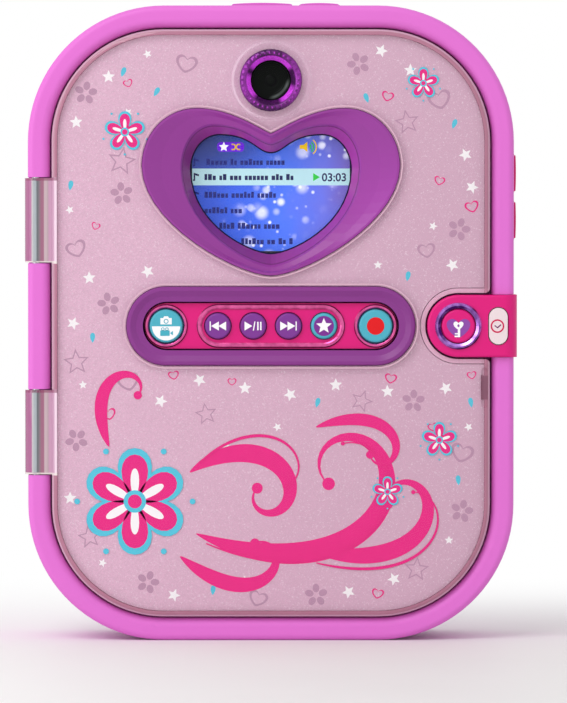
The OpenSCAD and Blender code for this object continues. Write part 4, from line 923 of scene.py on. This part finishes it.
class DIARY_OT_screen(bpy.types.Operator):
    """Build the screen's picture, its rows of marks and a painted shadow inside the window's edge
    """
    bl_idname = "diary.screen"
    bl_label = "Screen"

    def execute(self, context):
        paint(lens_glass(), "screen_lens")
        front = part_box("display_module")[0].y / MM
        thick = 0.012
        low = front - 0.018
        over = low - thick
        dice = random.Random(7)

        def flat(points, depth=over):
            return filled(points, depth, thick)

        def shown(name, pieces, colour, glow):
            finished(name, pieces, ink(name, colour, 0.4, glow), "case")

        def marks(start, end, z, depth):
            """A row of small blocks in groups, as a list on a small screen looks from afar."""
            blocks = []
            x, left = start, dice.randint(3, 6)
            while x < end - 0.7:
                half = dice.uniform(0.4, 0.58)
                rise = dice.choice((0.0, 0.0, 0.0, 0.5))
                block = box(half, 0.68 + rise / 2)
                blocks.append(flat(moved(block, x + half, z + rise / 2), depth))
                x += 2 * half + 0.26
                left -= 1
                if not left:
                    x += 0.85
                    left = dice.randint(2, 6)
            return blocks

        def sign(z, depth):
            points = ((0.0, 0.0), (0.55, 0.0), (0.55, 1.4), (1.5, 1.1), (1.5, 1.6), (0.2, 2.0),
                      (0.2, 0.35), (0.0, 0.35))
            return flat(moved(points, -24.2, z, 1.25), depth)

        def arrow(start, end, depth):
            path = [(-12.2, start), (-11.4, start), (-10.3, end), (-9.5, end)]
            return ribbon(path, [0.42] * 4, depth, thick)

        def arc(radius):
            path = [(11.4 + radius * math.cos(a), 152.5 + radius * math.sin(a))
                    for a in (math.radians(-52 + 13 * i) for i in range(9))]
            return ribbon(path, [0.38] * len(path), over, thick)

        wide, tall, middle = SCREEN
        picture = filled(moved(box(wide, tall), 0, middle), front + 0.002, 0.02)
        finished("screen_picture", [picture], screen_picture_finish(), "case")
        shown("screen_row", [flat(moved(box(wide, 2.6), 0, 143.2), low)],
              screen_rgb(186, 226, 232), 0.25)
        rows = ((-20.0, 4.4, 147.6), (-20.6, 2.6, 137.4), (-20.6, -8.2, 132.6),
                (-16.0, 3.5, 127.8), (-9.2, 7.3, 123.0))
        faint = [block for start, end, z in rows for block in marks(start, end, z, low)]
        faint += [sign(z - 1.1, low) for _, _, z in rows[:3]]
        shown("screen_marks", faint, screen_rgb(18, 30, 118), 0.3)
        clock = digits("03:03", 15.75, 141.9, 2.5, over, thick)
        shown("screen_numbers", [clock, sign(142.0, over)] + marks(-20.6, 8.4, 142.9, over),
              screen_rgb(14, 22, 84), 0.2)
        shown("screen_badge", [flat(moved(box(4.2, 1.5, 1.1), -12.5, 152.5), low)],
              screen_rgb(104, 10, 214), 0.4)
        shown("screen_star", [flat(moved(star(5, 1.6, 0.72), -14.6, 152.5))],
              (0.95, 0.95, 1.0), 0.5)
        horn = [(9.7, 152.2), (11.3, 150.9), (11.3, 154.1), (9.7, 152.8)]
        shown("screen_yellow", [flat(moved(box(0.6, 0.62), 9.5, 152.5)), flat(horn, over - thick),
                                arrow(153.3, 151.7, over), arrow(151.7, 153.3, over - thick),
                                arc(2.7)], screen_rgb(240, 196, 0), 0.35)
        shown("screen_green", [arc(1.0), arc(1.85),
                               flat([(13.1, 141.9), (15.2, 143.1), (13.1, 144.4)])],
              screen_rgb(40, 190, 60), 0.4)

        # Painted shadow: a dark heart-shaped band just inside the window, carried by the cover.
        outer, inner = [moved(heart(grown(WINDOW, by)), 0, heart_line())
                        for by in (1.5, -sizes().window_shadow / MM)]
        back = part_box("heart_bezel")[1].y / MM
        finished("window_shadow", [framed(outer, inner, back - 0.02, 0.06)],
                 ink("window_shadow", screen_rgb(22, 14, 58), 0.4), "cover")
        return {"FINISHED"}


def icon(name, shapes, material, body):
    """An icon on a button, which moves with it."""
    return finished(name, shapes, material, body)


def middle_of(name):
    """The x and z of a node's middle, in millimetres."""
    low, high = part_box(name)
    return (low.x + high.x) / 2 / MM, (low.z + high.z) / 2 / MM


class DIARY_OT_buttons(bpy.types.Operator):
    """Finish the row of buttons and print its icons"""
    bl_idname = "diary.buttons"
    bl_label = "Buttons"

    def execute(self, context):
        c = colours()
        teal = moulded("teal_plastic", c.teal, 0.4, 0.04)
        violet = moulded("violet_plastic", c.violet, 0.4, 0.05)
        white = ink("white_icons", c.white_ink, 0.4)
        paint(teal, "video_button", "favourites_button", "record_button")
        paint(violet, "previous_button", "play_button", "next_button")
        shine = [((0, -1, 0), 0.75, 0.98, 0.8), ((-0.4, -0.3, 0.8), 0.4, 0.9, 1.0)]
        paint(plated("pink_chrome", c.pink_chrome, screen_rgb(120, 10, 64), shine), "button_rings")
        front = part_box("video_button")[0].y / MM
        ink_t = sizes().ink / MM
        over = front - ink_t

        def flat(points, depth=front):
            return filled(points, depth, ink_t)

        def triangle(x, way):
            return moved([(-0.55, -0.75), (0.75, 0), (-0.55, 0.75)], x, 0, 1.85 * way)

        def bar(x, wide, tall, lean=0.0):
            return [(x - wide - lean, -tall), (x + wide - lean, -tall), (x + wide + lean, tall),
                    (x - wide + lean, tall)]

        def ring(radius, wide, x, z):
            return framed(moved(disc(radius), x, z), moved(disc(radius - wide), x, z), over, ink_t)

        x, z = middle_of("video_button")
        lower = [(4.35 * math.cos(a), 4.35 * math.sin(a) - 0.1)
                 for a in (math.pi + math.pi * i / 24 for i in range(25))]
        icon("video_half", [flat(moved(lower, x, z))], white, "video_button")
        body = [(-1.75, 0.5), (1.75, 0.5), (1.75, 2.45), (0.9, 2.45), (0.6, 3.0), (-0.6, 3.0),
                (-0.9, 2.45), (-1.75, 2.45)]
        icon("video_camera", [flat(moved(body, x, z))], white, "video_button")
        teal_ink = ink("teal_icons", c.teal, 0.4)
        icon("video_lens", [ring(0.74, 0.24, x, z + 1.45)], teal_ink, "video_button")
        funnel = [(1.2, -2.2), (2.1, -1.5), (2.1, -2.9)]
        icon("camcorder", [flat(moved(box(1.45, 0.85, 0.25), x - 0.35, z - 2.2), over),
                           flat(moved(funnel, x, z), over), ring(0.52, 0.2, x - 1.0, z - 0.95),
                           ring(0.52, 0.2, x + 0.25, z - 0.95)], teal_ink, "video_button")
        signs = {"previous": (bar(-2.35, 0.18, 1.4), triangle(-0.7, -1), triangle(1.55, -1)),
                 "play": (triangle(-1.65, 1), bar(0.3, 0.17, 1.4, 0.24), bar(1.45, 0.22, 1.3),
                          bar(2.35, 0.22, 1.3)),
                 "next": (triangle(-1.55, 1), triangle(0.7, 1), bar(2.35, 0.18, 1.4))}
        for name, parts in signs.items():
            middle = middle_of(name + "_button")
            icon(name + "_icon", [flat(moved(part, *middle)) for part in parts], white,
                 name + "_button")
        middle = middle_of("favourites_button")
        icon("favourites_disc", [flat(moved(disc(3.1, 48), *middle))],
             ink("violet_icons", c.violet, 0.36), "favourites_button")
        icon("favourites_star", [flat(moved(star(5, 2.5, 1.12), *middle), over)],
             white, "favourites_button")
        icon("record_dot", [flat(moved(disc(2.7, 48), *middle_of("record_button")))],
             ink("red_icons", c.red_ink, 0.36), "record_button")
        return {"FINISHED"}


class DIARY_OT_lock(bpy.types.Operator):
    """Print the key and the clock on the lock's buttons"""
    bl_idname = "diary.lock"
    bl_label = "Lock"

    def execute(self, context):
        c = colours()
        ink_t = sizes().ink / MM
        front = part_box("key_button")[0].y / MM
        over = front - ink_t
        x, z = middle_of("key_button")
        icon("key_heart", [filled(moved(small_heart(3.65), x, z - 0.5), front, ink_t)],
             ink("violet_heart", screen_rgb(142, 76, 168), 0.4), "key_button")
        bow = moved(small_heart(1.55), x, z + 0.25)
        hole = moved(ellipse(0.34, 0.44, n=len(bow)), x, z + 0.12)
        turn = 3 * len(hole) // 4
        shank = ((0.36, 1.3, 0.15, -2.1, 0.01), (0.55, 0.2, -0.55, -2.35, 0.0),
                 (0.7, 0.24, -0.5, -3.15, 0.0))
        icon("key_print", [framed(bow, list(reversed(hole[turn:] + hole[:turn])), over, ink_t)]
             + [filled(moved(box(wide, tall), x + dx, z + dz), over - up, ink_t)
                for wide, tall, dx, dz, up in shank],
             ink("white_key", c.white_ink, 0.4), "key_button")
        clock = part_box("clock_button")[0].y / MM
        x, z = middle_of("clock_button")
        icon("clock_print", [framed(moved(disc(2.1, 40), x, z), moved(disc(1.64, 40), x, z),
                                    clock, ink_t)],
             ink("pink_clock", screen_rgb(206, 20, 84), 0.4), "clock_button")
        hands = [(x - 0.85, z + 0.2), (x, z - 0.5), (x + 1.1, z + 0.45)]
        icon("clock_hands", [ribbon(hands, [0.36, 0.42, 0.36], clock, ink_t)],
             ink("clock_hands", screen_rgb(112, 30, 96), 0.4), "clock_button")
        return {"FINISHED"}


class DIARY_OT_card(bpy.types.Operator):
    """Print the cover: scattered motifs, blossoms and swirls"""
    bl_idname = "diary.card"
    bl_label = "Card"

    def execute(self, context):
        c = colours()
        thick = 0.02
        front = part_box("art_card")[0].y / MM + 0.5 * thick
        step = sizes().step / MM
        inks = {"white": c.white_ink, "grey": c.grey_ink, "pink": c.pink_ink, "aqua": c.aqua_ink}
        shapes = {name: [] for name in inks}

        def put(name, points, level=0):
            shapes[name].append(filled(points, front - level * step, thick))

        def line(name, points, x, z, hollow):
            """A motif's outline: the motif with a smaller one cut out of it."""
            shapes[name].append(framed(moved(points, x, z), moved(points, x, z, hollow),
                                       front, thick))

        for i, (x, z) in enumerate(STARS):
            size = 2.1 - 0.7 * (i % 3 == 1)
            put("white", moved(star(5, size, size * 0.45, 90 + 25 * (i % 5)), x, z))
        for x, z, size, turn in GREY_HEARTS:
            line("grey", moved(small_heart(size), turn=turn), x, z, 0.74)
        for x, z, turn in GREY_FLOWERS:
            for k in range(5):
                petal = moved(ellipse(1.35, 1.05, n=16), 2.2, 0)
                put("grey", moved(petal, x, z, turn=turn + 72 * k))
        for x, z, size, turn in GREY_STARS:
            line("grey", star(5, size, size * 0.45, turn), x, z, 0.76)
        for x, z, size, turn in PINK_HEARTS:
            line("pink", moved(small_heart(size), turn=turn), x, z, 0.74)
        for x, z, turn in DROPS:
            put("aqua", moved(drop(3.1, 0.95), x, z, turn=turn))

        level = 1
        for x, z, *form, wide in SWIRLS:
            path, widths = swirl(x, z, *form, wide)
            shapes["pink"].append(ribbon(path, widths, front - level * step, thick))
            put("pink", moved(disc(0.5 + 0.22 * wide, 24), *path[-1]), level + 1)
            level += 2
        for x, z, size, petals in BLOSSOMS:
            for k in range(petals):
                turn = 360 / petals * k + 90
                for name, long, wide, up in (("aqua", 1.0, 0.4, k % 2), ("pink", 0.88, 0.31, 2),
                                             ("white", 0.62, 0.1, 3)):
                    put(name, moved(drop(size * long, size * wide), x, z, turn=turn), level + up)
                a = math.radians(turn + 180 / petals)
                put("aqua", moved(disc(size * 0.055, 16), x + size * 1.08 * math.cos(a),
                                  z + size * 1.08 * math.sin(a)), level)
            for name, radius, up in (("aqua", 0.21, 4), ("pink", 0.13, 5)):
                put(name, moved(disc(size * radius, 32), x, z), level + up)
        for name, pieces in shapes.items():
            finished("print_" + name, pieces, ink("print_" + name, inks[name], 0.4), "cover")
        return {"FINISHED"}


# Places of the card's motifs, in millimetres: x and z first, then size and turn

STARS = ((-50, 174), (-38, 181), (34, 182), (-60, 160), (-44, 163), (43, 176), (60, 150),
         (50, 128), (-56, 112), (-38, 114), (33, 116), (56, 116), (-61, 98), (-58, 79),
         (-22, 80.5), (20, 79), (-62, 133), (62, 140), (36, 77), (61, 66), (-8, 78),
         (6, 76), (-52, 24), (-8, 18), (24, 15), (55, 31), (38, 19), (-34, 74), (-14, 60),
         (54, 78), (-62, 44), (2, 66), (-30, 14))
GREY_HEARTS = ((-26, 178, 3.4, -12), (52, 167, 3.6, 14), (-60, 121, 3.2, 20), (59, 58, 3.6, -16),
               (-44, 80, 3.4, 12), (-4, 13, 3.0, -20), (48, 120.5, 2.8, 8))
GREY_FLOWERS = ((-57, 169, 10), (27, 178, 40), (58, 127, 0), (-50, 104, 30), (44, 74, 15),
                (-60, 62, 50), (14, 14, 20), (59, 40, 5), (-46, 138, 25), (-38, 18, 0))
GREY_STARS = ((-46, 148, 4.6, 80), (42, 160, 4.0, 100), (-60, 86, 4.2, 95), (28, 74, 3.6, 70),
              (-56, 32, 3.8, 100), (45, 22, 4.0, 85), (-20, 70, 3.6, 100))
PINK_HEARTS = ((-44, 172, 1.5, 20), (36, 168, 1.9, -15), (62, 134, 2.2, 15), (-54, 128, 1.4, -20),
               (-30, 82, 1.7, 10), (37, 81, 1.9, -10), (-50, 70, 2.2, 12), (33, 14.5, 1.9, -12),
               (62, 82, 1.5, 10), (52, 142, 1.7, -15), (-12, 80, 1.4, 0), (50, 66, 1.6, 14))
DROPS = ((-36, 168, 60), (-62, 139, 80), (30, 166, 110), (56, 158, 70), (-55, 92, 90),
         (14, 72, 75), (62, 72, 100), (-18, 14, 85), (58, 48, 95), (-46, 174, 70), (42, 111, 80))
SWIRLS = ((-23, 33, -24, 112, 7, 84, 6.6),
          (-25, 52, 38, 60, -18, -150, 5.4),
          (-28, 26, -40, 46, 10, 150, 4.4),
          (12, 28, -14, 66, 8, 130, 5.0),
          (-50, 60, 112, 36, -14, -190, 3.6),
          (14, 66, 20, 42, -12, -190, 3.4),
          (-20, 30, -24, 92, 8, 58, 0.6), (-22, 55, 44, 46, -16, -110, 0.6),
          (14, 24, -14, 58, 8, 90, 0.6))
BLOSSOMS = ((-42, 43, 16.5, 6), (-45, 157, 6.4, 5), (47, 172, 5.0, 5), (36, 46, 4.8, 5),
            (52, 62, 5.6, 5))


class DIARY_OT_studio(bpy.types.Operator):
    """Set up the floor, the white room, the lamps and the camera"""
    bl_idname = "diary.studio"
    bl_label = "Studio"

    def execute(self, context):
        s = context.scene.diary_studio
        deselect()
        bpy.ops.mesh.primitive_grid_add(x_subdivisions=8, y_subdivisions=8, size=8.0)
        floor = context.object
        floor.name = "floor"
        f = Finish("floor")
        tree = f.tree
        far = ranged(tree, f.axes()[1], -0.02, 0.26, smooth=True)
        # Painted light: the floor is lighter towards the left.
        left = ranged(tree, f.axes()[0], 0.05, -0.12, 0.0, 0.75, smooth=True)
        pale = mixed(tree, f.noise(9.0, 3.0), (0.78, 0.77, 0.76, 1), (0.83, 0.82, 0.81, 1))
        pale = mixed(tree, left, pale, (0.97, 0.96, 0.95, 1))
        f.set(Base_Color=mixed(tree, far, pale, (0.95, 0.95, 0.95, 1)), Roughness=0.6,
              Normal=f.bump(f.noise(400.0), 0.02))
        seen = add(tree, "LightPath").outputs["Is Camera Ray"]
        light = add(tree, "Emission", {"Color": (1, 1, 1, 1), "Strength": 1.0}).outputs[0]
        share = times(tree, seen, far)
        out = tree.nodes["Material Output"]
        blend = add(tree, "MixShader", {0: share, 1: f.shader.outputs[0], 2: light})
        tree.links.new(blend.outputs[0], out.inputs["Surface"])
        floor.data.materials.append(f.material)
        floor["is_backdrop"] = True

        world = bpy.data.worlds.new("white_room")
        context.scene.world = world
        world.use_nodes = True
        tree = world.node_tree
        path = add(tree, "LightPath").outputs
        seen = math_node(tree, "MAXIMUM", path["Is Camera Ray"], path["Is Glossy Ray"])
        seen = math_node(tree, "MAXIMUM", seen, path["Is Transmission Ray"])
        room = tree.nodes["Background"]
        room.inputs["Color"].default_value = (1, 1, 1, 1)
        room.inputs["Strength"].default_value = s.ambient
        white = add(tree, "Background", {"Color": (1, 1, 1, 1), "Strength": 1.0})
        blend = add(tree, "MixShader", {0: seen, 1: room.outputs[0], 2: white.outputs[0]})
        tree.links.new(blend.outputs[0], tree.nodes["World Output"].inputs["Surface"])

        aim = Vector((0, 0, 0.1))
        for name, power, size, place in (("key_lamp", s.key, 0.9, (-0.6, -1.0, 1.3)),
                                         ("fill_lamp", s.fill, 0.8, (-1.3, -0.8, 0.4))):
            bpy.ops.object.light_add(type="AREA", location=place)
            lamp = context.object
            lamp.name = name
            lamp.data.energy = power
            lamp.data.size = size
            lamp.rotation_mode = "QUATERNION"
            lamp.rotation_quaternion = (aim - Vector(place)).to_track_quat("-Z", "Y")

        low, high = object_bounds()
        sensor = 36.0
        seen_height = 216.4 * MM
        aim = Vector((3.9 * MM, low.y, 89.4 * MM))
        place = Vector((aim.x, low.y - s.distance, s.height))
        bpy.ops.object.camera_add(location=place)
        camera = context.object
        camera.name = "camera"
        camera.rotation_mode = "QUATERNION"
        camera.rotation_quaternion = (aim - place).to_track_quat("-Z", "Y")
        camera.data.sensor_width = sensor
        camera.data.lens = sensor * s.distance / seen_height
        camera.data.clip_end = 50.0
        context.scene.camera = camera
        context.scene.view_settings.view_transform = "Standard"
        return {"FINISHED"}


OPERATORS = (DIARY_OT_case, DIARY_OT_cover, DIARY_OT_camera, DIARY_OT_insides, DIARY_OT_screen,
             DIARY_OT_buttons, DIARY_OT_lock, DIARY_OT_card, DIARY_OT_studio)


class DIARY_PT_panel(bpy.types.Panel):
    """Lists the diary's operators and settings"""
    bl_idname = "DIARY_PT_panel"
    bl_label = "Secret diary"
    bl_space_type = "VIEW_3D"
    bl_region_type = "UI"
    bl_category = "Diary"

    def draw(self, context):
        column = self.layout.column()
        for operator in OPERATORS:
            column.operator(operator.bl_idname)
        for group in ("diary_colours", "diary_sizes", "diary_studio"):
            settings = getattr(context.scene, group)
            for name in settings.bl_rna.properties.keys():
                if name not in ("rna_type", "name"):
                    column.prop(settings, name)


CLASSES = (DiaryColours, DiarySizes, DiaryStudio, *OPERATORS, DIARY_PT_panel)


def register():
    for item in CLASSES:
        bpy.utils.register_class(item)
    bpy.types.Scene.diary_colours = PointerProperty(type=DiaryColours)
    bpy.types.Scene.diary_sizes = PointerProperty(type=DiarySizes)
    bpy.types.Scene.diary_studio = PointerProperty(type=DiaryStudio)


def unregister():
    for name in ("diary_studio", "diary_sizes", "diary_colours"):
        delattr(bpy.types.Scene, name)
    for item in reversed(CLASSES):
        bpy.utils.unregister_class(item)


def main():
    register()
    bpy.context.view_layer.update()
    for operator in OPERATORS:
        group, name = operator.bl_idname.split(".")
        getattr(getattr(bpy.ops, group), name)()


if __name__ == "__main__":
    main()
